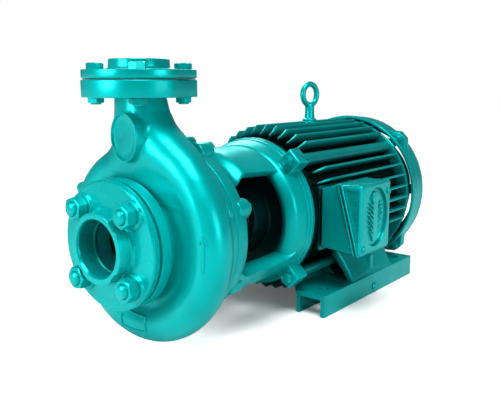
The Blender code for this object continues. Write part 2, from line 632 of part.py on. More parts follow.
def foot_hollows():
    """The channel under each rail, the chamfered inner corners, and the four hold-down holes."""
    cuts = []
    floor = -SHAFT_HEIGHT
    front, rear = FOOT_X
    for side in (-1, 1):
        tag = "right" if side < 0 else "left"
        low, high = sorted((side * 0.0895, side * 0.1180))
        cuts.append(block(f"foot_channel_{tag}", (front - 0.01, low, -0.01), (rear + 0.01, high, 0.0240)))
        for end, x, inward in (("front", front, 1), ("rear", rear, -1)):
            corner = [(x - inward * 0.01, side * 0.050), (x + inward * 0.030, side * 0.050),
                      (x + inward * 0.024, side * 0.060), (x + inward * 0.002, side * 0.0845),
                      (x - inward * 0.01, side * 0.0845)]
            level = Matrix.Translation((0, 0, floor + 0.028))
            cuts.append(slab(f"foot_corner_{tag}_{end}", corner, 0.02, level))
        for n, x in enumerate((0.309, 0.527)):
            cuts.append(rod(f"foot_hole_{tag}_{n}", 0.02, 0.04, 0.006, sides=HOLE,
                            matrix=upright(x, side * 0.104)))
    return cuts


def make_motor_inside():
    turned("stator_core", [
        (0.330, 0.0525), (0.330, FRAME_BORE - 0.0004), (0.480, FRAME_BORE - 0.0004), (0.480, 0.0525),
    ], (IRON, 0.5, 0.6))
    for name, low, high in (("stator_winding_front", 0.303, 0.3297), ("stator_winding_rear", 0.4803, 0.507)):
        turned(name, [(low, 0.058), (low + 0.004, 0.054), (high - 0.004, 0.054), (high, 0.058), (high, 0.074),
                      (high - 0.004, 0.078), (low + 0.004, 0.078), (low, 0.074)], (COPPER, 0.45, 0.5),
               steps=SMALL_ROUND)
    turned("rotor_core", [
        (0.331, 0.0203), (0.331, 0.0518), (0.479, 0.0518), (0.479, 0.0203),
    ], (IRON, 0.45, 0.7))
    bearing("front", 0.2325, 0.0190, 0.0152, 0.0359, 0.0055, 8)
    bearing("rear", 0.5230, 0.0170, 0.0127, 0.0305, 0.0046, 8)


def bearing(end, start, width, bore, outside, ball, count):
    """Two grooved rings, and a cage that carries the balls between them."""
    middle, pitch, stop = start + width / 2, (bore + outside) / 2, start + width
    lip, groove = ball * 0.52, ball + 0.0009
    turned(f"{end}_bearing_outer_ring", [
        (start, pitch + lip), (start, outside), (stop, outside), (stop, pitch + lip),
        (middle + ball, pitch + lip), (middle + ball * 0.5, pitch + groove),
        (middle - ball * 0.5, pitch + groove), (middle - ball, pitch + lip),
    ], (STEEL, 0.25, 0.9), steps=SMALL_ROUND)
    turned(f"{end}_bearing_inner_ring", [
        (start, bore), (start, pitch - lip), (middle - ball, pitch - lip),
        (middle - ball * 0.5, pitch - groove), (middle + ball * 0.5, pitch - groove),
        (middle + ball, pitch - lip), (stop, pitch - lip), (stop, bore),
    ], (STEEL, 0.25, 0.9), steps=SMALL_ROUND)
    cage = turned(f"{end}_ball_cage", [
        (middle - 0.0012, pitch - lip * 0.6), (middle - 0.0012, pitch + lip * 0.6),
        (middle + 0.0012, pitch + lip * 0.6), (middle + 0.0012, pitch - lip * 0.6),
    ], (BRONZE, 0.35, 0.8), steps=SMALL_ROUND)
    balls = []
    for n in range(count):
        bm = bmesh.new()
        bmesh.ops.create_icosphere(bm, subdivisions=1, radius=ball)
        at = (middle, *on_circle(pitch, 360 * n / count))
        balls.append(place(f"{end}_ball_{n}", mesh_of(bm, "ball"), None, Matrix.Translation(at), cutter=True))
    combine(cage, "UNION", balls)


def make_rear_end():
    shield = turned("rear_end_shield", [
        (0.5215, 0.0316), (0.5215, 0.040), (0.5350, 0.043), (0.5413, 0.070), (0.5413, 0.0990),
        (0.5483, 0.0990), (0.5483, 0.060), (0.5420, 0.036), (0.5420, 0.0145), (0.5403, 0.0145), (0.5403, 0.0316),
    ], (PAINT_DARK, 0.4), steps=SMALL_ROUND)
    ears = []
    for n, angle in enumerate(CORNER_ANGLES):
        ear = [(0.5418, 0.092), (0.5418, 0.119), (0.5478, 0.119), (0.5478, 0.092)]
        ears.append(slab(f"shield_ear_{n}", ear, 0.022, radial(angle)))
    combine(shield, "UNION", ears)
    fan = turned("cooling_fan", [
        (0.5560, 0.0105), (0.5560, 0.018), (0.5620, 0.024), (0.5620, 0.090), (0.5650, 0.090),
        (0.5650, 0.026), (0.5700, 0.018), (0.5850, 0.016), (0.5850, 0.0105),
    ], (PLASTIC, 0.6), steps=SMALL_ROUND)
    blades = []
    for n in range(8):
        blade = [(0.5570, 0.050), (0.5570, 0.088), (0.5640, 0.090), (0.5850, 0.080), (0.5850, 0.045),
                 (0.5640, 0.030)]
        blades.append(slab(f"blade_{n}", blade, 0.003, radial(22.5 + 45 * n)))
    combine(fan, "UNION", blades)
    cowl = turned("fan_cowl", [
        (COWL_FRONT, COWL - 0.003), (COWL_FRONT, COWL), (0.565, COWL), (0.588, 0.1190), (0.5975, 0.112),
        (OVERALL_LENGTH, 0.100), (OVERALL_LENGTH, 0.020), (0.5975, 0.020), (0.5975, 0.098),
        (0.5945, 0.109), (0.5860, 0.1160), (0.565, COWL - 0.003),
    ], (PAINT_DARK, 0.35))
    hub_plate = rod("cowl_hub_plate", 0.5975, OVERALL_LENGTH, 0.024, sides=SMALL_ROUND)
    ears = []
    for n, angle in enumerate(CORNER_ANGLES):
        ear = [(0.5496, 0.1175), (0.5496, 0.131), (0.560, 0.131), (0.563, 0.1175)]
        ears.append(slab(f"cowl_ear_{n}", ear, 0.022, radial(angle)))
        post = [(0.5502, 0.108), (0.5502, 0.121), (0.556, 0.121), (0.553, 0.108)]
        ears.append(slab(f"cowl_post_{n}", post, 0.016, radial(angle)))
    combine(cowl, "UNION", [hub_plate] + ears)
    slots = []
    for n in range(10):
        slot = [(0.59, 0.036), (0.59, 0.092), (0.61, 0.092), (0.61, 0.036)]
        slots.append(slab(f"slot_{n}", slot, 0.013, radial(18 + 36 * n)))
    combine(cowl, "DIFFERENCE", slots)


def make_terminal_box():
    """A wedge-shaped base on the frame's pad, closed by a lid along a sloping joint."""
    front, rear = 0.300, 0.382
    wall = 0.004
    seam_top, seam_bottom = (-0.130, 0.0475), (-0.157, -0.0510)

    def prism(name, outline, low, high, look=None):
        piece = loft(name, [[(x, y, z) for y, z in outline] for x in (low, high)])
        if look is None:
            return piece
        mesh = piece.data.copy()
        bpy.data.objects.remove(piece, do_unlink=True)
        return place(name, mesh, look, Matrix.Identity(4))

    base = [(-0.1028, 0.0410), seam_top, seam_bottom, (-0.1028, -0.0420)]
    hollow = [(-0.09, 0.0370), (-0.140, 0.0445), (-0.168, -0.0475), (-0.09, -0.0380)]
    body = prism("terminal_box", base, front, rear, (PAINT_DARK, 0.4))
    combine(body, "DIFFERENCE", [
        prism("terminal_hollow", hollow, front + wall, rear - wall),
        rod("cable_entry", 0.374, 0.390, 0.0070, centre=GLAND_CENTRE),
    ])
    shift = -0.0011
    mesh_line = [(seam_top[0] - GAP, seam_top[1]), (seam_top[0] - GAP + shift, seam_top[1]),
                 (seam_bottom[0] - GAP + shift, seam_bottom[1]), (seam_bottom[0] - GAP, seam_bottom[1])]
    gasket = prism("terminal_gasket", mesh_line, front, rear, (RUBBER, 0.9))
    combine(gasket, "DIFFERENCE", [prism("gasket_hollow", hollow, front + wall, rear - wall)])
    lid_top, lid_bottom = seam_top[0] - 2 * GAP + shift, seam_bottom[0] - 2 * GAP + shift
    lid_line = [(lid_top, seam_top[1]), (-TERMINAL_REACH, 0.0495), (-TERMINAL_REACH, -0.0495),
                (lid_bottom, seam_bottom[1])]
    lid = prism("terminal_lid", lid_line, front, rear, (PAINT, 0.4))
    inner = [(lid_top + 0.02, 0.0440), (-TERMINAL_REACH + wall, 0.0455), (-TERMINAL_REACH + wall, -0.0430),
             (lid_bottom + 0.02, -0.0430)]
    combine(lid, "DIFFERENCE", [prism("lid_hollow", inner, front + wall, rear - wall)])
    screw_points = [(0.308, -0.036), (0.375, 0.034)]
    for n, (x, z) in enumerate(screw_points):
        facing = Matrix.Translation((x, 0, z)) @ Matrix.Rotation(math.pi / 2, 4, "X")
        screw = rod(f"lid_screw_{n + 1}", TERMINAL_REACH + GAP, TERMINAL_REACH + 0.0028, 0.0045,
                    (STEEL, 0.35, 0.8), sides=12, matrix=facing)
        shank = rod(f"lid_screw_shank_{n}", 0.1590, 0.1660, 0.0022, sides=8, matrix=facing)
        combine(screw, "UNION", [shank])
        hole = rod(f"lid_screw_hole_{n}", 0.150, 0.170, 0.0027, sides=12, matrix=facing)
        combine(lid, "DIFFERENCE", [hole])
    block("terminal_block", (0.318, -0.1150, SHAFT_HEIGHT - 0.028), (0.364, -0.1031, SHAFT_HEIGHT + 0.024),
          (PLASTIC, 0.5))
    gland = rod("cable_gland", rear + GAP, 0.3935, 0.0090, (PLASTIC, 0.5), sides=6, centre=GLAND_CENTRE)
    combine(gland, "UNION", [rod("gland_neck", 0.3765, 0.3835, 0.0066, centre=GLAND_CENTRE),
                             rod("gland_dome", 0.393, 0.399, 0.0070, sides=12, centre=GLAND_CENTRE)])
    combine(gland, "DIFFERENCE", [rod("gland_bore", 0.386, 0.41, 0.0035, sides=12, centre=GLAND_CENTRE)])


def make_eyebolt():
    ring_height = 0.2935
    shank = turned("eyebolt", [
        (0.2365, 0.0), (0.2365, 0.0050), (0.2533, 0.0050), (0.2533, 0.0105), (0.2560, 0.0105), (0.2575, 0.0085),
        (0.2700, 0.0070), (0.2786, 0.0070), (0.2786, 0.0),
    ], (PAINT, 0.4), steps=HOLE, matrix=upright(EYEBOLT_X))
    ring_radius, bar = 0.0160, 0.0042
    circle = [(ring_radius * math.sin(a), 0, ring_radius * math.cos(a))
              for a in np.linspace(0, 2 * math.pi, SMALL_ROUND, endpoint=False)]
    stand = upright(EYEBOLT_X) @ Matrix.Translation((0, 0, ring_height)) @ Matrix.Rotation(-0.14, 4, "Z")
    ring = wire("eye_ring", circle, bar, None, closed=True, matrix=stand, sides=1)
    combine(shank, "UNION", [ring])


make_volute()
make_suction_flange()
make_discharge_flange()
make_impeller()
make_seal_and_cover()
make_shaft()
make_bracket()
make_frame()
make_motor_inside()
make_rear_end()
make_terminal_box()
make_eyebolt()
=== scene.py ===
"""Centrifugal water pump on a foot-mounted electric motor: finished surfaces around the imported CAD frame.

Shapes are given in metres from the suction end (x), the shaft's centre line (y) and the floor (z). Angles
round the shaft start at the top and turn towards +y. OFFSET then carries every mesh into the frame.
"""

import json
import math

import bmesh
import bpy
import numpy as np
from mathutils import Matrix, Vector


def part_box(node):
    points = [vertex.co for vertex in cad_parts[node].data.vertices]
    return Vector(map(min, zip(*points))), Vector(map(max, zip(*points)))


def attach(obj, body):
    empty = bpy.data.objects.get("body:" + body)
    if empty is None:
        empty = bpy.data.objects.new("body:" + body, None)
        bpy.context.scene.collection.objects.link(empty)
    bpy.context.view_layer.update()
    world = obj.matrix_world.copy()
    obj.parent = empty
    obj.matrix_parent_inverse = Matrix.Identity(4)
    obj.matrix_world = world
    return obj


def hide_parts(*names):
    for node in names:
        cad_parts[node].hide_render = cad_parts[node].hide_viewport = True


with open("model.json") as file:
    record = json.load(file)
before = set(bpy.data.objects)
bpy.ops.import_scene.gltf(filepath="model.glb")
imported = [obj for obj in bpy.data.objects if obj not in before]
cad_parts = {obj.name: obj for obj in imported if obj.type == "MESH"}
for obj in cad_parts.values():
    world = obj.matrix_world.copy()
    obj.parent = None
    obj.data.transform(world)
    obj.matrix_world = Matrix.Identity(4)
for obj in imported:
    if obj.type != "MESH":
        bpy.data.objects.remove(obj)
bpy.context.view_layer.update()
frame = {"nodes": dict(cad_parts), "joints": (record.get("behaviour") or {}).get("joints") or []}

# ---------------------------------------------------------------- where things are
SHAFT = frame["joints"][0]["pos_m"]
AXIS = SHAFT[2]                    # height of the shaft's centre line
OFFSET = np.array([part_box("suction_stud_1")[0].x, SHAFT[1], 0.0])
CORNERS = [45, 135, 225, 315]      # degrees round the middle, for every set of four
STUD_CIRCLE = 0.0572               # radii of the circles that the studs and bolts stand on
DISCHARGE_CIRCLE = 0.0492
BRACKET_CIRCLE = 0.112
EYEBOLT_X = 0.4285
X, Y, Z = np.eye(3)


# ---------------------------------------------------------------- materials
def material(name, colour, roughness, metallic=0.0, coat=0.0, specular=0.5, tint=None):
    """A plain finish, with its node tree and shader for the patterns that follow."""
    made = bpy.data.materials.new(name)
    made.use_nodes = True
    shader = made.node_tree.nodes["Principled BSDF"]
    shader.inputs["Base Color"].default_value = (*colour, 1)
    shader.inputs["Roughness"].default_value = roughness
    shader.inputs["Metallic"].default_value = metallic
    shader.inputs["Coat Weight"].default_value = coat
    shader.inputs["Coat Roughness"].default_value = 0.12
    shader.inputs["Specular IOR Level"].default_value = specular
    if tint:
        shader.inputs["Specular Tint"].default_value = (*tint, 1)
    made.diffuse_color = (*colour, 1)
    return made, made.node_tree, shader


def noise(tree, scale, detail, stretch=None):
    """Noise on object coordinates; stretch squeezes it along an axis, for brushed or drawn metal."""
    source = tree.nodes.new("ShaderNodeTexCoord").outputs["Object"]
    if stretch:
        mapping = tree.nodes.new("ShaderNodeMapping")
        mapping.inputs["Scale"].default_value = stretch
        tree.links.new(source, mapping.inputs["Vector"])
        source = mapping.outputs["Vector"]
    node = tree.nodes.new("ShaderNodeTexNoise")
    node.inputs["Scale"].default_value = scale
    node.inputs["Detail"].default_value = detail
    tree.links.new(source, node.inputs["Vector"])
    return node.outputs["Fac"]


def ramp(tree, source, stops):
    """Colours at (position, colour) stops along a source that runs from 0 to 1."""
    node = tree.nodes.new("ShaderNodeValToRGB")
    band = node.color_ramp
    while len(band.elements) < len(stops):
        band.elements.new(0.5)
    for element, (position, colour) in zip(band.elements, stops):
        element.position = position
        element.color = (*colour, 1)
    tree.links.new(source, node.inputs["Fac"])
    return node.outputs["Color"]


def bump(tree, shader, layers):
    """Bump from several (height source, distance in metres, strength), each on top of the one before."""
    normal = None
    for source, distance, strength in layers:
        node = tree.nodes.new("ShaderNodeBump")
        node.inputs["Distance"].default_value = distance
        node.inputs["Strength"].default_value = strength
        tree.links.new(source, node.inputs["Height"])
        if normal:
            tree.links.new(normal, node.inputs["Normal"])
        normal = node.outputs["Normal"]
    tree.links.new(normal, shader.inputs["Normal"])


def spread(colour, amount):
    """The colour made darker or lighter by a factor."""
    return tuple(min(1.0, channel * amount) for channel in colour)


def grey(value):
    """The same amount of every channel."""
    return (value,) * 3


def away_from_shaft(tree, low, high):
    """0 at radius low from the shaft's line, 1 at radius high."""
    source = tree.nodes.new("ShaderNodeTexCoord").outputs["Object"]
    mapping = tree.nodes.new("ShaderNodeMapping")
    mapping.vector_type = "POINT"
    mapping.inputs["Location"].default_value = (0, -SHAFT[1], -AXIS)
    mapping.inputs["Scale"].default_value = (0, 1, 1)
    tree.links.new(source, mapping.inputs["Vector"])
    reach = tree.nodes.new("ShaderNodeVectorMath")
    reach.operation = "LENGTH"
    tree.links.new(mapping.outputs["Vector"], reach.inputs[0])
    share = tree.nodes.new("ShaderNodeMapRange")
    share.interpolation_type = "SMOOTHSTEP"
    share.inputs["From Min"].default_value = low
    share.inputs["From Max"].default_value = high
    tree.links.new(reach.outputs["Value"], share.inputs["Value"])
    return share.outputs["Result"]


def enamel(name, colour, roughness, grain, painted_shade=None):
    """Glossy enamel over metal: faint cloudy colour and gloss over soft sand-cast waves. Painted shade is
    (low radius, high radius, how much colour is left): what lies nearer the shaft is painted darker and
    duller, as painted shade in the hollows."""
    made, tree, shader = material(name, colour, roughness, metallic=0.5, coat=0.10, tint=(0.0, 1.0, 0.98))
    tone = ramp(tree, noise(tree, 18, 3), [(0.3, spread(colour, 0.88)), (0.7, spread(colour, 1.1))])
    # Painted shade: the colour is mixed towards a darker copy nearer the shaft, standing in for shade in
    # hollows
    if painted_shade:
        low, high, left = painted_shade
        shade_mix = tree.nodes.new("ShaderNodeMix")
        shade_mix.data_type = "RGBA"
        shade_mix.inputs["A"].default_value = (*spread(colour, left), 1)
        share = away_from_shaft(tree, low, high)
        tree.links.new(share, shade_mix.inputs["Factor"])
        tree.links.new(tone, shade_mix.inputs["B"])
        tone = shade_mix.outputs["Result"]
        # The painted shade also lowers the specular level nearer the shaft, a painted dimming of reflections
        shine = ramp(tree, share, [(0.0, grey(0.1)), (1.0, grey(0.5))])
        tree.links.new(shine, shader.inputs["Specular IOR Level"])
    tree.links.new(tone, shader.inputs["Base Color"])
    gloss = ramp(tree, noise(tree, 40, 2), [(0.3, grey(roughness - 0.04)), (0.75, grey(roughness + 0.06))])
    tree.links.new(gloss, shader.inputs["Roughness"])
    bump(tree, shader, [(noise(tree, 70, 1), 0.0005, grain)])
    return made


TEAL = (0.0, 0.45, 0.44)
DEEP_TEAL = (0.0, 0.38, 0.37)
CASTING = enamel("casting_enamel", TEAL, 0.37, 0.10)
# Painted shade: near-black towards the shaft, inside the bracket's window
INNER_CASTING = enamel("bracket_enamel", TEAL, 0.36, 0.10, painted_shade=(0.076, 0.0945, 0.04))
MOTOR = enamel("motor_enamel", DEEP_TEAL, 0.33, 0.10)
# Painted shade: darker down into the valleys between the fins
FINNED = enamel("finned_enamel", DEEP_TEAL, 0.33, 0.10, painted_shade=(0.1050, 0.1212, 0.04))
SMOOTH = enamel("machined_enamel", TEAL, 0.27, 0.04)
# Painted shade: darker down the suction flange's bore
BORED = enamel("bored_enamel", TEAL, 0.27, 0.04, painted_shade=(0.026, 0.036, 0.10))
FASTENER = enamel("fastener_enamel", TEAL, 0.30, 0.05)


def metal(name, colour, roughness, stretch=None, scale=300, depth=0.00003):
    """Bare metal: fine marks that change its colour, gloss and height together."""
    made, tree, shader = material(name, colour, roughness, metallic=1.0)
    mark = noise(tree, scale, 4, stretch)
    tone = ramp(tree, mark, [(0.35, spread(colour, 0.8)), (0.7, spread(colour, 1.12))])
    tree.links.new(tone, shader.inputs["Base Color"])
    gloss = ramp(tree, mark, [(0.3, grey(roughness - 0.07)), (0.8, grey(roughness + 0.1))])
    tree.links.new(gloss, shader.inputs["Roughness"])
    bump(tree, shader, [(mark, depth, 0.4)])
    return made


def dull(name, colour, roughness, scale=500, depth=0.0001):
    """Rubber, fibre, plastic or carbon: a fine grain and little gloss."""
    made, tree, shader = material(name, colour, roughness, specular=0.35)
    grain = noise(tree, scale, 4)
    tone = ramp(tree, grain, [(0.3, spread(colour, 0.75)), (0.75, spread(colour, 1.25))])
    tree.links.new(tone, shader.inputs["Base Color"])
    bump(tree, shader, [(grain, depth, 0.35)])
    return made


def layered(name, colour, roughness, pitch, metallic=1.0):
    """Thin sheets or windings stacked along the shaft, as fine grooves."""
    made, tree, shader = material(name, colour, roughness, metallic=metallic)
    source = tree.nodes.new("ShaderNodeTexCoord").outputs["Object"]
    wave = tree.nodes.new("ShaderNodeTexWave")
    wave.bands_direction = "X"
    wave.inputs["Scale"].default_value = math.pi / 10 / pitch
    wave.inputs["Distortion"].default_value = 0.3
    tree.links.new(source, wave.inputs["Vector"])
    line = wave.outputs["Fac"]
    tone = ramp(tree, line, [(0.0, spread(colour, 0.55)), (0.5, colour)])
    tree.links.new(tone, shader.inputs["Base Color"])
    bump(tree, shader, [(line, pitch / 3, 0.5), (noise(tree, 700, 3), 0.00004, 0.3)])
    return made


STEEL = metal("turned_steel", (0.60, 0.61, 0.62), 0.28, stretch=(6, 1, 1), scale=900)
LAMINATED = layered("laminated_steel", (0.33, 0.34, 0.36), 0.42, 0.0009)
BRONZE = metal("cast_bronze", (0.20, 0.14, 0.07), 0.45, scale=260, depth=0.0001)
COPPER = layered("varnished_copper", (0.62, 0.26, 0.11), 0.36, 0.0016, metallic=0.85)
RUBBER = dull("black_rubber", (0.022, 0.023, 0.024), 0.72)
FIBRE = dull("gasket_fibre", (0.03, 0.16, 0.15), 0.75, 900)
PLASTIC = dull("moulded_plastic", (0.035, 0.037, 0.04), 0.45, 800, 0.00004)
CARBON = dull("carbon_face", (0.05, 0.05, 0.055), 0.3, 1200, 0.00002)
# Near-black paint as painted shade, for the casing cover seen through the bracket's window
SHADE_BLACK = dull("painted_shade_enamel", (0.0, 0.016, 0.015), 0.6)


# ---------------------------------------------------------------- surfaces
def frame_at(origin, along=X, across=Y):
    """A place for a shape: local (along, across, third) become these directions from origin."""
    along = np.asarray(along, float) / np.linalg.norm(along)
    across = np.asarray(across, float) - along * np.dot(along, across)
    across /= np.linalg.norm(across)
    return np.asarray(origin, float), np.stack([along, across, np.cross(along, across)])


ON_SHAFT = frame_at((0, 0, AXIS))
SECTION = frame_at((0, 0, 0))      # for outlines of (y, z), carried along x
PLAN = frame_at((0, 0, 0), Z, X)   # for outlines of (x, y), carried upwards


def upright(x, y=0.0):
    """Local along is straight up, across is the shaft's own way."""
    return frame_at((x, y, 0), Z, X)


def from_near_side(x, z, tilt=0.0):
    """Local along is level and away from the shaft, on the terminal box's side; across may lean upwards."""
    return frame_at((x, 0, z), -Y, X + tilt * Z)


def circle_point(radius, degrees, x=0.0):
    """The point at an angle round the shaft."""
    angle = math.radians(degrees)
    return np.array([x, radius * math.sin(angle), AXIS + radius * math.cos(angle)])


def beside_shaft(radius, degrees):
    """Local along is the shaft's own way, from a point beside it."""
    return frame_at(circle_point(radius, degrees))


def radial(degrees):
    """Local along is the way out from the shaft, across is the shaft's own way."""
    return frame_at((0, 0, AXIS), circle_point(1, degrees) - (0, 0, AXIS), X)


def placed(points, where):
    """Points given as (along, across, third) carried to their place."""
    origin, axes = where
    return np.asarray(points, float) @ axes + origin


def quads(rows, columns, wrap_rows):
    """Corner numbers of the faces of a grid whose rows are rings, and whose columns may close too."""
    last_row = rows if wrap_rows else rows - 1
    r, c = np.meshgrid(np.arange(last_row), np.arange(columns), indexing="ij")
    r2, c2 = (r + 1) % rows, (c + 1) % columns
    corners = [r * columns + c, r * columns + c2, r2 * columns + c2, r2 * columns + c]
    return np.stack(corners, -1).reshape(-1, 4)


def raw(name, grid, wrap_rows=False, caps=False):
    """A loose object from a grid of points, its poles and seams merged and its faces turned outwards."""
    grid = np.asarray(grid, float)
    rows, columns = grid.shape[:2]
    faces = quads(rows, columns, wrap_rows).tolist()
    if caps:
        faces.append(list(range(columns))[::-1])
        faces.append(list(range((rows - 1) * columns, rows * columns)))
    mesh = bpy.data.meshes.new(name)
    mesh.from_pydata((grid.reshape(-1, 3) + OFFSET).tolist(), [], faces)
    bm = bmesh.new()
    bm.from_mesh(mesh)
    bmesh.ops.remove_doubles(bm, verts=bm.verts, dist=1e-7)
    bmesh.ops.dissolve_degenerate(bm, edges=bm.edges, dist=1e-7)
    bmesh.ops.recalc_face_normals(bm, faces=bm.faces)
    if bm.calc_volume(signed=True) < 0:
        bmesh.ops.reverse_faces(bm, faces=bm.faces)
    bm.to_mesh(mesh)
    bm.free()
    made = bpy.data.objects.new(name, mesh)
    bpy.context.scene.collection.objects.link(made)
    return made


def rounded(corners, arc=3, closed=True):
    """A line of (a, b, radius) corners with each corner swept by an arc between its two tangent points."""
    points = np.array([c[:2] for c in corners], float)
    line = []
    count = len(corners)
    for i, corner in enumerate(corners):
        radius = corner[2] if len(corner) > 2 else 0.0
        if radius <= 0 or (not closed and i in (0, count - 1)):
            line.append(points[i])
            continue
        back, ahead = points[i - 1] - points[i], points[(i + 1) % count] - points[i]
        long_back, long_ahead = np.linalg.norm(back), np.linalg.norm(ahead)
        back, ahead = back / long_back, ahead / long_ahead
        half = math.acos(np.clip(np.dot(back, ahead), -1, 1)) / 2
        if half > math.radians(88):
            line.append(points[i])
            continue
        reach = min(radius / math.tan(half), 0.48 * long_back, 0.48 * long_ahead)
        size = reach * math.tan(half)
        middle = points[i] + (back + ahead) / np.linalg.norm(back + ahead) * size / math.sin(half)
        start, end = points[i] + back * reach - middle, points[i] + ahead * reach - middle
        sweep = math.pi - 2 * half
        turn = np.sign(start[0] * end[1] - start[1] * end[0])
        for k in range(arc + 1):
            a = turn * sweep * k / arc
            line.append(middle + (start[0] * math.cos(a) - start[1] * math.sin(a),
                                  start[0] * math.sin(a) + start[1] * math.cos(a)))
    return np.array(line)


def turned(name, profile, where=ON_SHAFT, steps=96, arc=3):
    """A lathe-turned shape: each (along, radius, rounding) corner carried once round the axis."""
    on_axis = profile[0][1] == 0
    line = rounded(profile, arc, closed=not on_axis)
    turn = np.linspace(0, 2 * math.pi, steps, endpoint=False)
    grid = np.empty((len(line), steps, 3))
    grid[..., 0] = line[:, :1]
    grid[..., 1] = line[:, 1:] * np.cos(turn)
    grid[..., 2] = line[:, 1:] * np.sin(turn)
    return raw(name, placed(grid, where), wrap_rows=not on_axis)


def rod(name, start, end, radius, where, edge=0.0006, steps=40):
    """A round bar between two places along its line, its end edges rounded."""
    return turned(name, [(start, 0), (start, radius, edge), (end, radius, edge), (end, 0)], where, steps)


def inset(outline, depth):
    """The outline moved inwards by depth, each corner along the line that halves it."""
    ahead = np.roll(outline, -1, 0) - outline
    ahead /= np.linalg.norm(ahead, axis=1, keepdims=True)
    back = np.roll(ahead, 1, 0)
    normal = np.stack([-(ahead + back)[:, 1], (ahead + back)[:, 0]], 1)
    normal /= np.linalg.norm(normal, axis=1, keepdims=True)
    cosine = np.clip(normal[:, 0] * -ahead[:, 1] + normal[:, 1] * ahead[:, 0], 0.4, 1)
    return outline + normal * (depth / cosine)[:, None]


def prism(name, outline, low, high, where, edge=0.0008, arc=3, corner_arc=4):
    """An outline of (across, third, rounding) corners carried along, its two end edges rounded."""
    line = rounded(outline, corner_arc)
    area = np.sum(line[:, 0] * np.roll(line[:, 1], -1) - np.roll(line[:, 0], -1) * line[:, 1])
    if area < 0:
        line = line[::-1]
    t = np.linspace(0, math.pi / 2, arc + 1)
    levels = [(low + edge * (1 - math.sin(a)), edge * (1 - math.cos(a))) for a in t[::-1]]
    levels += [(high - edge * (1 - math.sin(a)), edge * (1 - math.cos(a))) for a in t]
    grid = np.stack([np.column_stack([np.full(len(line), along), inset(line, depth)])
                     for along, depth in levels])
    return raw(name, placed(grid, where), caps=True)


def rectangle(a0, b0, a1, b1, rounding=0.0):
    """From one corner to the opposite one, all four rounded alike."""
    return [(a0, b0, rounding), (a1, b0, rounding), (a1, b1, rounding), (a0, b1, rounding)]


def crosswise(low, high, half_wide, rounding=0.0):
    """A rectangle between two places along the shaft, as wide to either side."""
    return [(low, half_wide, rounding), (low, -half_wide, rounding), (high, -half_wide, rounding),
            (high, half_wide, rounding)]


def block(name, low, high, edge=0.0008, corner=0.0008):
    """A box between two corners with all its edges rounded."""
    return prism(name, rectangle(*low[:2], *high[:2], corner), low[2], high[2], PLAN, edge)


def lofted(name, rings):
    """A solid through rings of points, one after another, with flat ends."""
    return raw(name, rings, caps=True)


def swept_ring(name, radius, bar, where, steps=72, sides=24):
    """A torus: a round section carried round a circle that lies across local along."""
    turn = np.linspace(0, 2 * math.pi, steps, endpoint=False)[:, None]
    side = np.linspace(0, 2 * math.pi, sides, endpoint=False)[None, :]
    reach = radius + bar * np.cos(side)
    ring = np.broadcast_arrays(bar * np.sin(side), reach * np.cos(turn), reach * np.sin(turn))
    return raw(name, placed(np.stack(ring, -1), where), wrap_rows=True)


def hexagon_reach(angle, flats):
    """Distance from the middle of a hexagon to its side in each direction."""
    return flats / 2 / np.cos((angle + math.pi / 6) % (math.pi / 3) - math.pi / 6)


def hexagon_solid(name, low, high, flats, where, bore=0.0, chamfer=(1, 1), turn=0.0, steps=72):
    """A hexagon whose corners a cone has cut off at the ends, with a countersunk bore if it is a nut."""
    angle = np.linspace(0, 2 * math.pi, steps, endpoint=False)
    reach = hexagon_reach(angle, flats)
    face = flats / 2 * 0.95
    drop = np.maximum(reach - face, 0) * math.tan(math.radians(30))
    sink = 0.0006 if bore else 0.0
    rows = [(low + sink, bore), (low, bore + sink), (low, face), (low + drop * chamfer[0], reach),
            (high - drop * chamfer[1], reach), (high, face), (high, bore + sink), (high - sink, bore)]
    rings = [np.broadcast_arrays(along, r * np.cos(angle + turn), r * np.sin(angle + turn))
             for along, r in rows]
    grid = np.stack([np.stack(ring, -1) for ring in rings])
    return raw(name, placed(grid, where), wrap_rows=bool(bore))


def discard(objects):
    """Removes loose objects and their meshes."""
    for thing in objects:
        mesh = thing.data
        bpy.data.objects.remove(thing)
        bpy.data.meshes.remove(mesh)


def fused(name, solids, holes=()):
    """One closed mesh from solids that overlap, less the holes."""
    base = solids[0]
    for operation, others in (("UNION", solids[1:]), ("DIFFERENCE", holes)):
        for other in others:
            step = base.modifiers.new(other.name, "BOOLEAN")
            step.operation, step.solver, step.object = operation, "MANIFOLD", other
    bpy.context.view_layer.update()
    mesh = bpy.data.meshes.new_from_object(base.evaluated_get(bpy.context.evaluated_depsgraph_get()))
    made = bpy.data.objects.new(name, mesh)
    bpy.context.scene.collection.objects.link(made)
    discard(list(solids) + list(holes))
    return made


SHARP = math.radians(32)           # the least angle between faces that still shows as an edge


def finish(made, name, look, node=None, body="housing"):
    """Names a piece, gives it its finish, sets what it rides on and hides the CAD node that it stands for.
    """
    made.name = made.data.name = name
    made.data.materials.clear()
    made.data.materials.append(look)
    made.data.shade_smooth()
    made.data.set_sharp_from_angle(angle=SHARP)
    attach(made, body)
    if node:
        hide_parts(node)


def fastener(name, solids, node=None, holes=()):
    """A bolt, stud, nut or screw of enamelled steel."""
    finish(fused("fastener", solids, holes), name, FASTENER, node)


def hexagon_bolt(name, where, head, flats, chamfer, turn, shank, radius, node=None):
    """A hexagon head and a plain shank, each between two places along the same line."""
    fastener(name, [hexagon_solid("head", *head, flats, where, chamfer=chamfer, turn=turn),
                    rod("shank", *shank, radius, where, 0.0005, 24)], node)


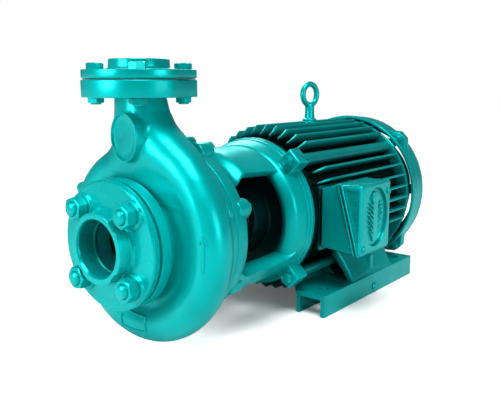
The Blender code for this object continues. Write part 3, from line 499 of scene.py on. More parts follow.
def slotted_screw(node, x, z, head, shank, radius, slot, depth, tilt):
    """A round head with a slot across it, and a plain shank. Slot is (half length, half width), depth is
    (bottom, top) along the screw, and tilt leans the slot out of level."""
    where = from_near_side(x, z)
    half_long, half_wide = slot
    outline = rectangle(-half_long, -half_wide, half_long, half_wide)
    cut = prism("slot", outline, *depth, from_near_side(x, z, tilt), 0.0)
    solids = [turned("head", head, where, 32), rod("shank", *shank, radius, where, 0.0002, 20)]
    fastener(f"{node}_slotted", solids, node, [cut])


def along_circle(start, stop, count):
    """Evenly spaced angles from one number of degrees to another, in radians."""
    return np.linspace(math.radians(start), math.radians(stop), count)


def smooth_step(t):
    """From 0 to 1 with level ends."""
    t = np.clip(t, 0, 1)
    return t * t * (3 - 2 * t)


def blend(a, b, width):
    """The nearer of two distances, with a fillet of about this width where they meet."""
    share = np.clip(0.5 + 0.5 * (b - a) / width, 0, 1)
    return b * (1 - share) + a * share - width * share * (1 - share)


# ---------------------------------------------------------------- volute casing
CREST_X = 0.071                    # along the shaft: the scroll's crest
NECK_X = 0.075                     # along the shaft: the discharge neck's middle
CREST_START = 0.110                # the crest's radius where the scroll begins
CREST_GROWTH = 0.022               # how much it gains on its way round
TUBE = 0.0215                      # half the tube's depth, in and out
TUBE_FRONT, TUBE_BACK = 0.0220, 0.0255       # half the tube's width, before and behind the crest
PLATE_FRONT, PLATE_BACK = 0.0575, 0.105      # the solid middle of the scroll, along the shaft
NECK = np.array([            # height, centre across, half width across, half width along the shaft
    (0.180, -0.0185, 0.0685, 0.018),
    (0.212, -0.0185, 0.0685, 0.026),
    (0.234, -0.0170, 0.0600, 0.0275),
    (0.252, -0.0120, 0.0480, 0.028),
    (0.266, -0.0060, 0.0395, 0.028),
    (0.280, -0.0030, 0.0320, 0.028),
    (0.298, -0.0005, 0.0275, 0.028),
    (0.330, 0.0000, 0.0275, 0.028),
])
NECK_POWER = 2.3                   # 2 would make the neck's section an ellipse, more makes it squarer
PAD_CENTRE = np.array([0.0465, -0.0090, 0.2525])
PAD_FACING = np.array([-math.cos(math.radians(11)), math.sin(math.radians(11)), 0.0])
LUG = circle_point(0.107, 61, 0.062)


def ball_distance(x, y, z, centre, radius):
    """Below zero inside a ball."""
    return np.sqrt((x - centre[0]) ** 2 + (y - centre[1]) ** 2 + (z - centre[2]) ** 2) - radius


def scroll_distance(x, radius, degrees):
    """Below zero inside an oval tube, which grows as it goes round, and the plate that it goes round."""
    grown = smooth_step((degrees - 80) / 200) - smooth_step((degrees - 350) / 30)
    middle = CREST_START + CREST_GROWTH * grown - TUBE
    reach = np.where(x < CREST_X, TUBE_FRONT, TUBE_BACK)
    tube = (np.sqrt(((x - CREST_X) / reach) ** 2 + ((radius - middle) / TUBE) ** 2) - 1) * 0.022
    plate = np.maximum(np.maximum(radius - middle, PLATE_FRONT - x), x - PLATE_BACK)
    return blend(tube, plate, 0.010)


def neck_distance(x, y, z):
    """Below zero inside a squarish tube whose middle and half widths follow the NECK table upwards."""
    centre, half_y, half_x = (np.interp(z, NECK[:, 0], NECK[:, k]) for k in (1, 2, 3))
    across, along = np.abs((y - centre) / half_y), np.abs((x - NECK_X) / half_x)
    neck = (along ** NECK_POWER + across ** NECK_POWER) ** (1 / NECK_POWER) - 1
    return np.maximum(neck * 0.028, 0.185 - z)


def pad_distance(x, y, z):
    """Below zero inside a short round bar that comes out of the neck's front, a little to one side."""
    to_pad = np.stack([x, y, z], -1) - PAD_CENTRE
    depth = to_pad @ PAD_FACING
    aside = np.sqrt(np.maximum((to_pad ** 2).sum(-1) - depth ** 2, 0))
    return np.maximum(aside - 0.0262, np.maximum(depth - 0.001, -0.020 - depth))


def casing_distance(x, radius, angle):
    """Below zero inside the casing: scroll, neck, pad, suction hub, rear flange and a round lug, blended
    one after another, then cut off at the bore, under the top flange and at both ends."""
    degrees = np.degrees(angle) % 360
    degrees = np.where(degrees < 20, degrees + 360, degrees)
    y, z = radius * np.sin(angle), AXIS + radius * np.cos(angle)
    hub = np.maximum(radius - 0.063, np.abs(x - 0.052) - 0.012)
    flange = np.maximum(radius - 0.1055, np.abs(x - 0.109) - 0.0105)
    shape = scroll_distance(x, radius, degrees)
    shape = blend(shape, neck_distance(x, y, z), np.clip(0.010 - 0.1 * y, 0.005, 0.014))
    shape = blend(shape, pad_distance(x, y, z), 0.0035)
    shape = blend(shape, hub, 0.005)
    shape = blend(shape, flange, 0.006)
    shape = blend(shape, ball_distance(x, y, z, LUG, 0.0075), 0.004)
    return np.maximum.reduce([shape, 0.028 - radius, z - 0.3060, 0.0435 - x, x - 0.1190])


def casing_points(angle, out):
    """Points of the skin. Rays leave a ring of centres inside the casing, in planes through the shaft, and
    each stops where the distance turns positive: x = centre_x + reach sin(out) and
    radius = centre_r + reach cos(out)."""
    centre_x, centre_r = 0.074, 0.082
    stride, strides, halvings = 0.0012, 84, 14
    angle, out = np.broadcast_arrays(angle, out)
    step_x, step_r = np.sin(out), np.cos(out)

    def distance(reach):
        return casing_distance(centre_x + reach * step_x, centre_r + reach * step_r, angle)

    low = np.full(angle.shape, stride)
    walking = np.ones_like(low, bool)
    for k in range(2, strides):
        outside = distance(np.full_like(low, k * stride)) > 0
        low[walking & ~outside] = k * stride
        walking &= ~outside
    high = low + stride
    for _ in range(halvings):
        middle = (low + high) / 2
        outside = distance(middle) > 0
        high = np.where(outside, middle, high)
        low = np.where(outside, low, middle)
    reach = (low + high) / 2
    radius = centre_r + reach * step_r
    skin = [centre_x + reach * step_x, radius * np.sin(angle), AXIS + radius * np.cos(angle)]
    return np.stack(skin, -1)


def casing_skin():
    """The casing's outside: angles round the shaft by angles out of the ring of centres, closer together
    towards the suction end and round the neck."""
    near = along_circle(-62, 40, 210)
    far = along_circle(40, 298, 190)[1:-1]
    out = np.concatenate([along_circle(-128, 84, 118), along_circle(84, 232, 34)[1:-1]])
    grid = casing_points(np.concatenate([near, far])[:, None], out[None, :])
    return raw("casing_skin", grid, wrap_rows=True)


def relief(name, corners, bar):
    """A raised line cast on the skin: a round bar of radius bar through (angle, out) corners in degrees."""
    corners = np.radians(np.array(corners, float))
    share = np.linspace(0, 1, 12)[:, None]
    stretches = [a + (b - a) * share[:-1] for a, b in zip(corners, corners[1:])]
    path = np.concatenate(stretches + [corners[-1:]])
    line = casing_points(path[:, 0], path[:, 1])
    ahead = np.gradient(line, axis=0)
    ahead /= np.linalg.norm(ahead, axis=1, keepdims=True)
    side = np.cross(ahead, (0.3, 0.9, 0.1))
    side /= np.linalg.norm(side, axis=1, keepdims=True)
    turn = np.linspace(0, 2 * math.pi, 12, endpoint=False)[None, :, None]
    ring = np.cos(turn) * side[:, None] + np.sin(turn) * np.cross(ahead, side)[:, None]
    return lofted(name, line[:, None] + bar * ring)


CASING_BOLTS = [(0.103, -19), (0.097, 53), (0.097, 173), (0.097, 291)]     # radius, angle round the shaft
ARM_ROOTS = [113, 233]
BOSSES = CASING_BOLTS + [(0.104, -4)] + [(0.097, angle) for angle in ARM_ROOTS]
BOSS_END = 0.1500
FLAT_FACING = math.atan2(-0.971, 0.242)      # the discharge flanges' flat faces the terminal box's side


def flange_with_flat(name, low, high, radius, edge):
    """A round plate with one flat, at 0.925 of its radius."""
    turn = np.linspace(0, 2 * math.pi, 128, endpoint=False)
    toward = np.cos(turn - FLAT_FACING)
    reach = np.where(toward > 0, np.minimum(radius, 0.925 * radius / np.maximum(toward, 1e-3)), radius)
    outline = [(r * math.cos(a), r * math.sin(a)) for r, a in zip(reach, turn)]
    return prism(name, outline, low, high, upright(NECK_X), edge)


def make_volute():
    """The skin with its machined faces, pad and bosses, less the bores and the bolt holes."""
    solids = [casing_skin()]
    solids.append(turned("suction_face", [
        (0.0313, 0.026), (0.0313, 0.0655), (0.0324, 0.0660), (0.0327, 0.0748, 0.0004),
        (0.0462, 0.0748, 0.0012), (0.0482, 0.0735, 0.001), (0.0490, 0.0690, 0.001),
        (0.0515, 0.0655, 0.003), (0.062, 0.0640), (0.062, 0.026),
    ]))
    solids.append(turned("rear_flange", [
        (0.0985, 0.050), (0.0985, 0.1070, 0.0015), (0.1197, 0.1070, 0.0008), (0.1197, 0.050),
    ], steps=160))
    solids.append(flange_with_flat("discharge_flange", 0.2958, 0.3150, 0.065, 0.0012))
    pad = frame_at(PAD_CENTRE, PAD_FACING, Z)
    solids.append(turned("neck_pad", [
        (-0.018, 0), (-0.018, 0.024), (-0.004, 0.0268), (0.0060, 0.0274, 0.0007),
        (0.0060, 0.0261, 0.0005), (0.0028, 0.0248, 0.0010), (0.0010, 0.0150, 0.010), (0.0002, 0.0),
    ], pad, 80))
    for n, place_round in enumerate(BOSSES):
        solids.append(rod(f"casing_boss_{n}", 0.1075, 0.1188, 0.0125, beside_shaft(*place_round), 0.003))
    holes = [
        turned("suction_bore", [
            (0.02, 0), (0.02, 0.0335), (0.0345, 0.0335), (0.0375, 0.0324), (0.0500, 0.0324),
            (0.0500, 0.0370), (0.0590, 0.0370), (0.0590, 0.0866, 0.002), (0.13, 0.0866), (0.13, 0),
        ]),
        turned("discharge_bore", [(0.215, 0), (0.215, 0.0215), (0.34, 0.0215), (0.34, 0)],
               upright(NECK_X), 64),
    ]
    holes += [rod(f"stud_hole_{n}", 0.02, 0.0475, 0.0084, beside_shaft(STUD_CIRCLE, a), 0, 24)
              for n, a in enumerate(CORNERS)]
    holes += [rod(f"flange_hole_{n}", 0.28, 0.33, 0.0064, upright(NECK_X + along, across), 0, 24)
              for n, (along, across) in enumerate(bolt_places())]
    solids += [
        relief("arrow_shaft", [(281, -34.6), (261.7, -35.2)], 0.0017),
        relief("arrow_head", [(277, -39.0), (281, -34.6), (277, -30.5)], 0.0014),
        relief("plate_edge", [(170.1, -71.5), (172.0, -47.4), (194.4, -45.2), (195.3, -71.5), (176.6, -82.6),
                              (170.1, -71.5)], 0.0018),
    ]
    volute = fused("volute", solids, holes)
    finish(volute, "volute_casing_skin", CASTING, "volute_casing")


def bolt_places():
    """Offsets along and across of the four discharge bolts from the neck's middle."""
    turns = [math.radians(angle) for angle in CORNERS]
    return [(DISCHARGE_CIRCLE * math.sin(turn), DISCHARGE_CIRCLE * math.cos(turn)) for turn in turns]


# ---------------------------------------------------------------- pipe flanges, studs and nuts
def stud_profile(grooves=9, pitch=0.0018):
    """A rounded end, then grooves cut into the front part of a plain bar."""
    profile = [(0.0, 0), (0.0, 0.0052, 0.001), (0.0016, 0.0078, 0.0004)]
    for k in range(grooves):
        start = 0.0024 + pitch * k
        profile += [(start, 0.0080), (start + pitch / 2, 0.0072)]
    return profile + [(0.0200, 0.0080), (0.0460, 0.0080, 0.0005), (0.0460, 0)]


def make_suction_flange():
    """The companion flange, its hub scalloped round four raised pads, with its gasket, studs and nuts."""
    plate = turned("suction_plate", [
        (0.0030, 0.0338, 0.0006), (0.0030, 0.0405, 0.0010), (0.0175, 0.0418, 0.002),
        (0.0204, 0.0450, 0.0015), (0.0204, 0.0730, 0.0014), (0.0220, 0.0746, 0.0010),
        (0.0287, 0.0746, 0.0004), (0.0290, 0.0660), (0.0300, 0.0655), (0.0300, 0.0300),
        (0.0260, 0.0300, 0.0006), (0.0260, 0.0321, 0.0005), (0.0062, 0.0325, 0.0010),
    ], steps=160)
    places = [beside_shaft(STUD_CIRCLE, angle) for angle in CORNERS]
    scallops = [rod(f"scallop_{n}", -0.01, 0.0188, 0.0193, where, 0.0012, 64)
                for n, where in enumerate(places)]
    plate = fused("plate", [plate], scallops)
    pads = [turned(f"pad_{n}", [(0.0210, 0), (0.0210, 0.0178, 0.0015), (0.0195, 0.0168, 0.0012),
                                (0.0176, 0.0165, 0.0010), (0.0176, 0)], where, 48)
            for n, where in enumerate(places)]
    flange = fused("suction", [plate] + pads)
    finish(flange, "suction_companion_flange_turned", BORED, "suction_companion_flange")
    ring = turned("gasket", [(0.0303, 0.034), (0.0303, 0.0655, 0.0002), (0.0310, 0.0655, 0.0002),
                             (0.0310, 0.034)])
    finish(ring, "suction_gasket_ring", RUBBER, "suction_gasket")
    for n, where in enumerate(places):
        stud = turned("stud", stud_profile(), where, 48, 2)
        fastener(f"suction_stud_{n + 1}_threaded", [stud], f"suction_stud_{n + 1}")
        nut = hexagon_solid("nut", 0.0044, 0.0174, 0.024, where, 0.0083, turn=math.radians(10 + 17 * n))
        fastener(f"suction_nut_{n + 1}_chamfered", [nut], f"suction_nut_{n + 1}")


def make_discharge_flange():
    """The companion flange with its stepped round hub, its gasket, and four bolts with nuts."""
    low, high, top = 0.3166, 0.3262, 0.3380
    plate = flange_with_flat("plate", low, high, 0.0645, 0.0010)
    hub = turned("hub", [
        (high - 0.004, 0.028), (high - 0.004, 0.0400), (high - 0.0002, 0.0380, 0.002),
        (high + 0.0022, 0.0348, 0.002), (top, 0.0342, 0.0012), (top, 0.0255, 0.001),
        (top - 0.004, 0.0232, 0.001), (0.330, 0.022),
    ], upright(NECK_X))
    bore = rod("bore", 0.30, 0.35, 0.0222, upright(NECK_X), 0, 64)
    flange = fused("discharge", [plate, hub], [bore])
    finish(flange, "discharge_companion_flange_turned", SMOOTH,
           "discharge_companion_flange")
    ring = turned("gasket", [(0.3153, 0.0225), (0.3153, 0.0632, 0.0002), (0.3163, 0.0632, 0.0002),
                             (0.3163, 0.0225)], upright(NECK_X))
    finish(ring, "discharge_gasket_ring", FIBRE, "discharge_gasket")
    for n, (along, across) in enumerate(bolt_places()):
        where, turn = upright(NECK_X + along, across), math.radians(20 + 25 * n)
        head = hexagon_solid("head", 0.3265, 0.3338, 0.0175, where, chamfer=(0, 1), turn=turn)
        shank = rod("shank", 0.2875, 0.330, 0.006, where, 0.0008)
        nut = hexagon_solid("nut", 0.2893, 0.2955, 0.0175, where, turn=-turn)
        fastener(f"discharge_bolt_{n + 1}_and_nut", [head, shank, nut], f"discharge_bolt_{n + 1}")


# ---------------------------------------------------------------- bracket
def make_bracket():
    """The ring on the casing, the dish on the motor and the arms between them, with both sets of bolts."""
    dish = turned("dish", [
        (0.2275, 0.0365, 0.0008), (0.2275, 0.0470, 0.0015), (0.2540, 0.0520, 0.004),
        (0.2560, 0.0735, 0.002), (0.2500, 0.0745, 0.001), (0.2500, 0.0775, 0.001),
        (0.2440, 0.0790, 0.002), (0.2440, 0.0850, 0.006), (0.2530, 0.0960, 0.010),
        (0.2700, 0.1012, 0.006), (0.2735, 0.1012, 0.001), (0.2740, 0.1026, 0.0006),
        (0.2790, 0.1030, 0.0006), (0.2795, 0.1040, 0.0006), (0.2847, 0.1042, 0.0006),
        (0.2847, 0.0845, 0.0006), (0.2660, 0.0845, 0.003), (0.2620, 0.0550, 0.003),
        (0.2520, 0.0365, 0.001),
    ], steps=160)
    ring = turned("ring", [
        (0.1273, 0.0780), (0.1273, 0.0918), (0.1203, 0.0918), (0.1203, 0.1070, 0.0008),
        (0.1300, 0.1070, 0.0004), (0.1304, 0.1062, 0.0003), (0.1340, 0.1062, 0.0004),
        (0.1344, 0.1054, 0.0003), (0.1400, 0.1046, 0.003), (0.1460, 0.1000, 0.004),
        (0.1460, 0.0780, 0.002),
    ], steps=160)
    solids = [dish, ring, bracket_arm("arm_top", 0, 0.066, 0.0965, 0.011, 0.0870)]
    solids += [bracket_arm(f"arm_{n}", a, 0.0130, 0.1020, 0.020, 0.1030) for n, a in enumerate(ARM_ROOTS)]
    for n, place_round in enumerate(BOSSES):
        solids.append(rod(f"boss_{n}", 0.1290, BOSS_END, 0.0122, beside_shaft(*place_round), 0.0022, 48))
    lug = [(0.2600, 0.0120, 0.003), (0.2600, -0.0120, 0.003), (0.2840, -0.0130, 0.001),
           (0.2840, 0.0130, 0.001)]
    for n, angle in enumerate(CORNERS):
        solids.append(prism(f"lug_{n}", lug, 0.090, 0.1225, radial(angle), 0.003))
    holes = [rod(f"lug_hole_{n}", 0.2617, 0.3000, 0.0046, beside_shaft(BRACKET_CIRCLE, a), 0, 20)
             for n, a in enumerate(CORNERS)]
    bracket = fused("bracket", solids, holes)
    finish(bracket, "motor_bracket_cast", INNER_CASTING, "motor_bracket")
    for n, place_round in enumerate(CASING_BOLTS):
        hexagon_bolt(f"casing_bolt_{n + 1}_chamfered", beside_shaft(*place_round),
                     (BOSS_END + 0.0003, BOSS_END + 0.0063), 0.014, (0, 1), 0.3 * n,
                     (0.1105, BOSS_END + 0.003), 0.005, f"casing_bolt_{n + 1}")
    for n, angle in enumerate(CORNERS):
        hexagon_bolt(f"bracket_bolt_{n + 1}_chamfered", beside_shaft(BRACKET_CIRCLE, angle),
                     (0.2520, 0.2587), 0.013, (1, 0), 0.4 + 0.3 * n, (0.256, 0.300), 0.004,
                     f"bracket_bolt_{n + 1}")


def bracket_arm(name, degrees, half_width, top, thickness, front_top):
    """A bar bent round the shaft: a rounded section carried along x, wider and thicker at both ends."""
    x = np.concatenate([np.linspace(0.138, 0.152, 5), np.linspace(0.156, 0.236, 21),
                        np.linspace(0.240, 0.2615, 9)])
    outer = front_top + (top - front_top) * smooth_step((x - 0.166) / 0.018)
    outer = outer - 0.002 * smooth_step((x - 0.19) / 0.06)
    flare = np.maximum(1 - (x - 0.148) / 0.014, 0) ** 2 + np.maximum(1 - (0.258 - x) / 0.016, 0) ** 2
    flare = np.clip(flare, 0, 1.4)
    wide = half_width + 0.006 * flare
    depth = thickness + 0.004 * flare
    section = rounded([(-1, 0, 0.09), (1, 0, 0.09), (1, 1, 0.07), (-1, 1, 0.07)], 3)
    dense = np.linspace(0, 1, 14)[:, None]
    ahead = np.roll(section, -1, 0)
    section = np.concatenate([a + (b - a) * dense[:-1] if abs(b[0] - a[0]) > 1 else a[None]
                              for a, b in zip(section, ahead)])
    half_turn = np.arcsin(np.clip(wide / outer, 0, 0.99))[:, None]
    angle = math.radians(degrees) + half_turn * section[None, :, 0]
    radius = outer[:, None] - depth[:, None] * section[None, :, 1]
    grid = np.broadcast_arrays(x[:, None], radius * np.sin(angle), AXIS + radius * np.cos(angle))
    return lofted(name, np.stack(grid, -1))


# ---------------------------------------------------------------- motor
FIN_PITCH = 8.5                    # degrees


def fin_angles():
    """Angle and front end of each cooling fin: none run through the feet or the bolt ridges."""
    fins = [(k * FIN_PITCH, 0.300) for k in range(-4, 5)]
    for k in range(7):
        angle = 56 + k * FIN_PITCH
        fins.append((angle, 0.300))
        fins.append((-angle, 0.388 if k > 1 else 0.300))
    return fins + [(180 + k * FIN_PITCH, 0.300) for k in range(-3, 4)]


def fin(name, degrees, front):
    """A tapered cooling fin: thick at its root, thin and rounded at the tip, its front end sloped."""
    station = np.array([0.0, 0.004, 0.009, 0.0160, 0.0175])
    x = np.concatenate([front + station, np.linspace(front + 0.03, 0.5385, 6)])
    slope = np.clip((x - front) / 0.016, 0, 1)
    root = 0.094
    tip = 0.1085 + 0.0125 * slope
    t = np.linspace(0, math.pi, 7)
    across = np.concatenate([[-0.0026], -0.0016 * np.cos(t), [0.0026]])
    lift = np.concatenate([[0.0], np.ones_like(t), [0.0]])
    crown = np.concatenate([[0.0], 0.0014 * (np.sin(t) - 1), [0.0]])
    radius = root + (tip[:, None] - root) * lift[None, :] + crown[None, :]
    grid = np.stack(np.broadcast_arrays(radius, x[:, None], across[None, :]), -1)
    return lofted(name, placed(grid, radial(degrees)))


def make_frame():
    """The motor's body with its fins, bolt ridges, pads and feet, less its bores and hollows."""
    body = turned("body", [
        (0.2850, 0.0850, 0.0005), (0.2850, 0.1040, 0.0008), (0.2905, 0.1040, 0.0006),
        (0.2908, 0.1032, 0.0004), (0.2945, 0.1030, 0.0010), (0.3000, 0.0975, 0.003),
        (0.5345, 0.0970, 0.0015), (0.5350, 0.1000, 0.0010), (0.5408, 0.1000, 0.0006),
        (0.5408, 0.0850, 0.0005),
    ], steps=160)
    solids = [body]
    for n, (angle, front) in enumerate(fin_angles()):
        solids.append(fin(f"fin_{n}", angle, front))
    ridge = [(0.2860, 0), (0.2860, 0.0095, 0.0015), (0.3000, 0.0092), (0.5250, 0.0088),
             (0.5395, 0.0095, 0.0015), (0.5395, 0)]
    web = crosswise(0.2862, 0.5392, 0.0035)
    for n, angle in enumerate(CORNERS):
        solids.append(turned(f"ridge_{n}", ridge, beside_shaft(0.108, angle), 32))
        solids.append(prism(f"web_{n}", web, 0.090, 0.108, radial(angle), 0.0004, 1))
    pad = rectangle(0.2985, 0.0435, 0.3855, -0.0455, 0.004)
    solids.append(prism("terminal_pad", pad, 0.088, 0.1025, radial(270), 0.0008))
    boss = [(0.225, 0), (0.225, 0.0160), (0.2490, 0.0145, 0.002), (0.2530, 0.0140, 0.001), (0.2530, 0)]
    solids.append(turned("eyebolt_boss", boss, upright(EYEBOLT_X), 48))
    solids += foot_solids()
    holes = [rod(f"front_hole_{n}", 0.28, 0.303, 0.0046, beside_shaft(BRACKET_CIRCLE, a), 0, 20)
             for n, a in enumerate(CORNERS)]
    holes.append(rod("stator_bore", 0.275, 0.55, 0.0855, ON_SHAFT, 0, 128))
    holes.append(rod("eyebolt_hole", 0.234, 0.27, 0.0056, upright(EYEBOLT_X), 0, 24))
    holes.append(rod("lead_hole", 0.070, 0.108, 0.014, from_near_side(0.341, AXIS - 0.002), 0, 32))
    holes += foot_hollows()
    finish(fused("frame", solids, holes), "motor_frame_cast", FINNED, "motor_frame")


FOOT_FRONT, FOOT_REAR, FOOT_TOP = 0.280, 0.550, 0.0308
FOOT_OUTER, RAIL_INNER = 0.1243, 0.079
SIDES = [("near", -1), ("far", 1)]


def foot_solids():
    """Each foot: a rail, a plate with chamfered inner corners, and a web that leans up to the body."""
    solids = []
    for tag, side in SIDES:
        outer_edge = [(FOOT_FRONT, side * FOOT_OUTER, 0.0012), (FOOT_REAR, side * FOOT_OUTER, 0.0012),
                      (FOOT_REAR, side * RAIL_INNER, 0.001)]
        inner_corner = (FOOT_FRONT, side * RAIL_INNER, 0.001)
        solids.append(prism(f"rail_{tag}", outer_edge + [inner_corner], 0.0, 0.0285, PLAN, 0.0008))
        chamfers = [(FOOT_REAR - 0.024, side * 0.0600, 0.001), (FOOT_REAR - 0.030, side * 0.0560, 0.001),
                    (FOOT_FRONT + 0.030, side * 0.0560, 0.001), (FOOT_FRONT + 0.024, side * 0.0600, 0.001)]
        plate = outer_edge + chamfers + [inner_corner]
        solids.append(prism(f"plate_{tag}", plate, 0.0250, FOOT_TOP, PLAN, 0.0012))
        solids.append(foot_web(f"web_{tag}", side))
        low, high = sorted((side * 0.050, side * 0.119))
        solids.append(block(f"rib_{tag}", (0.418, low, 0.026), (0.426, high, 0.058)))
        low, high = sorted((side * 0.0520, side * 0.0600))
        inner_web = block(f"inner_web_{tag}", (0.302, low, 0.026), (0.535, high, 0.066), 0.0015, 0.0015)
        solids.append(inner_web)
        rib = [(side * 0.060, 0.029, 0.001), (side * 0.082, 0.029, 0.001), (side * 0.062, 0.050, 0.001)]
        for n, x in enumerate((0.380, 0.462)):
            solids.append(prism(f"small_rib_{tag}_{n}", rib, x - 0.0025, x + 0.0025, SECTION, 0.001))
    return solids


def foot_web(name, side):
    """The web between foot and body: each level's outline narrows and leans inwards as it rises."""
    levels = [(0.0275, 0.1228, 0.1130, 0.357, 0.487), (0.0330, 0.1215, 0.1110, 0.361, 0.483),
              (0.0450, 0.1150, 0.1030, 0.361, 0.483), (0.0600, 0.1070, 0.0930, 0.359, 0.485),
              (0.0720, 0.1000, 0.0830, 0.355, 0.489), (0.0880, 0.0920, 0.0700, 0.350, 0.494)]
    rings = []
    for height, outer, inner, front, rear in levels:
        outline = rounded([(front, side * outer, 0.004), (rear, side * outer, 0.004),
                           (rear, side * inner, 0.002), (front, side * inner, 0.002)], 4)
        rings.append(np.column_stack([outline, np.full(len(outline), height)]))
    return lofted(name, np.array(rings))


def foot_hollows():
    """The channel under each foot, open at both ends, and the two holes through its plate."""
    cuts = []
    for tag, side in SIDES:
        low, high = sorted((side * (RAIL_INNER + 0.0055), side * 0.1180))
        cuts.append(block(f"channel_{tag}", (FOOT_FRONT - 0.01, low, -0.01),
                          (FOOT_REAR + 0.01, high, 0.0240), 0.002, 0.0001))
        for n, x in enumerate((0.309, 0.527)):
            cuts.append(rod(f"foot_hole_{tag}_{n}", 0.02, 0.04, 0.0076, upright(x, side * 0.104), 0, 32))
    return cuts


def make_earth_screw():
    """A slotted round-headed screw in the near foot's outer side."""
    head = [(0.1246, 0), (0.1246, 0.0058, 0.0003), (0.1256, 0.0058, 0.0006), (0.1270, 0.0036, 0.001),
            (0.1272, 0)]
    slotted_screw("earth_screw", 0.422, 0.010, head, (0.1190, 0.1252), 0.0019, (0.007, 0.0007),
                  (0.1256, 0.128), 0.6)


def make_rear_end():
    """The bearing shield, and the fan cowl with its screws, lugs and ring-shaped air slots."""
    shield = turned("shield", [
        (0.5215, 0.0316, 0.0005), (0.5215, 0.040, 0.001), (0.5350, 0.043, 0.003),
        (0.5413, 0.070, 0.001), (0.5413, 0.1165, 0.0006), (0.5480, 0.1165, 0.0008),
        (0.5480, 0.060, 0.003), (0.5420, 0.036, 0.002), (0.5420, 0.0145, 0.0005), (0.5403, 0.0145),
        (0.5403, 0.0316),
    ], steps=128)
    ear = crosswise(0.5416, 0.5478, 0.011, 0.001)
    ears = [prism(f"ear_{n}", ear, 0.092, 0.1190, radial(a), 0.003) for n, a in enumerate(CORNERS)]
    rear = fused("rear", [shield] + ears)
    finish(rear, "rear_end_shield_cast", MOTOR, "rear_end_shield")
    cowl = turned("cowl", [
        (0.5490, 0.1207, 0.0004), (0.5490, 0.1245, 0.0012), (0.5540, 0.1245, 0.0012),
        (0.5555, 0.1234, 0.001), (0.5700, 0.1231, 0.001), (0.5740, 0.1221, 0.001),
        (0.5920, 0.1213, 0.002), (0.5960, 0.1200, 0.002), (0.6045, 0.1140, 0.006),
        (0.6075, 0.1010, 0.004), (0.6075, 0.0000),
    ], steps=160)
    hollow = turned("cowl_hollow", [
        (0.5400, 0), (0.5400, 0.1207), (0.5650, 0.1200), (0.5930, 0.1180, 0.004),
        (0.6010, 0.1100, 0.006), (0.6048, 0.1000, 0.003), (0.6048, 0),
    ], steps=160)
    ear = [(-0.026, 0.1185, 0.001), (-0.0075, 0.1345, 0.005), (0.0075, 0.1345, 0.005),
           (0.026, 0.1185, 0.001)]
    post = crosswise(0.5502, 0.5550, 0.008, 0.001)
    ears = []
    for n, angle in enumerate(CORNERS):
        turn = math.radians(angle)
        across = frame_at((0, 0, AXIS), X, (0, math.cos(turn), -math.sin(turn)))
        ears.append(prism(f"ear_{n}", ear, 0.5600, 0.5740, across, 0.0012))
        ears.append(prism(f"post_{n}", post, 0.1080, 0.1220, radial(angle), 0.0008))
        hexagon_bolt(f"cowl_screw_{n + 1}", beside_shaft(0.1278, angle), (0.5545, 0.5597), 0.0100, (1, 0),
                     0.3 + 0.3 * n, (0.5580, 0.5830), 0.0028)
    slots = [cowl_slot(f"slot_{n}", inner, inner + 0.0075, 5 + 90 * n, 85 + 90 * n)
             for n in range(4) for inner in (0.030, 0.0425, 0.055, 0.0675, 0.080, 0.0925)]
    shell = fused("cowl_shell", [cowl], [hollow])
    finish(fused("cowl", [shell] + ears, slots), "fan_cowl_pressed", MOTOR, "fan_cowl")


def cowl_slot(name, inner, outer, start, stop):
    """A ring-shaped air slot: a narrow section carried along part of a circle, in the cowl's back."""
    count = 4 + int((stop - start) * outer / 0.12)
    angle = along_circle(start, stop, count)[:, None]
    x, radius = np.array([(0.600, inner), (0.600, outer), (0.612, outer), (0.612, inner)]).T
    grid = np.broadcast_arrays(x, radius * np.sin(angle), AXIS + radius * np.cos(angle))
    return lofted(name, np.stack(grid, -1))


def make_eyebolt():
    """A turned shank and collar under a ring, which is turned a little from the shaft's line."""
    shank = turned("shank", [
        (0.2365, 0), (0.2365, 0.0050, 0.0006), (0.2533, 0.0050), (0.2533, 0.0108, 0.0006),
        (0.2560, 0.0108, 0.001), (0.2575, 0.0078, 0.001), (0.2690, 0.0070, 0.002),
        (0.2760, 0.0074, 0.002), (0.2800, 0.0056, 0.003), (0.2800, 0),
    ], upright(EYEBOLT_X), 48)
    ring = swept_ring("ring", 0.0160, 0.0043, frame_at((EYEBOLT_X, 0, 0.2935), Y + 0.14 * X, X))
    fastener("eyebolt_forged", [shank, ring], "eyebolt")


# ---------------------------------------------------------------- terminal box
BOX_FRONT, BOX_REAR = 0.300, 0.382
SEAM_TOP, SEAM_BOTTOM = (-0.130, AXIS + 0.0475), (-0.157, AXIS - 0.0450)     # across and up
LID_FACE = -0.165                  # across: the lid's outer face
ENTRY_Y = -0.1322                  # across: the cable entry
OVAL_CENTRE = (0.341, AXIS + 0.0026)


def side_prism(name, outline, low, high, edge=0.0012, arc=3):
    """An outline of (across, up, rounding) corners carried along the shaft's direction."""
    return prism(name, outline, low, high, SECTION, edge, arc)


def seam_lip(name, top, bottom):
    """A lip a little past the seam on every side, from one place across to another at top and bottom."""
    above, below = SEAM_TOP[1] + 0.0008, SEAM_BOTTOM[1] - 0.0010
    outline = [(top[0], above, 0.0006), (top[1], above, 0.0006), (bottom[0], below, 0.0006),
               (bottom[1], below, 0.0006)]
    return side_prism(name, outline, BOX_FRONT - 0.0012, BOX_REAR + 0.0012)


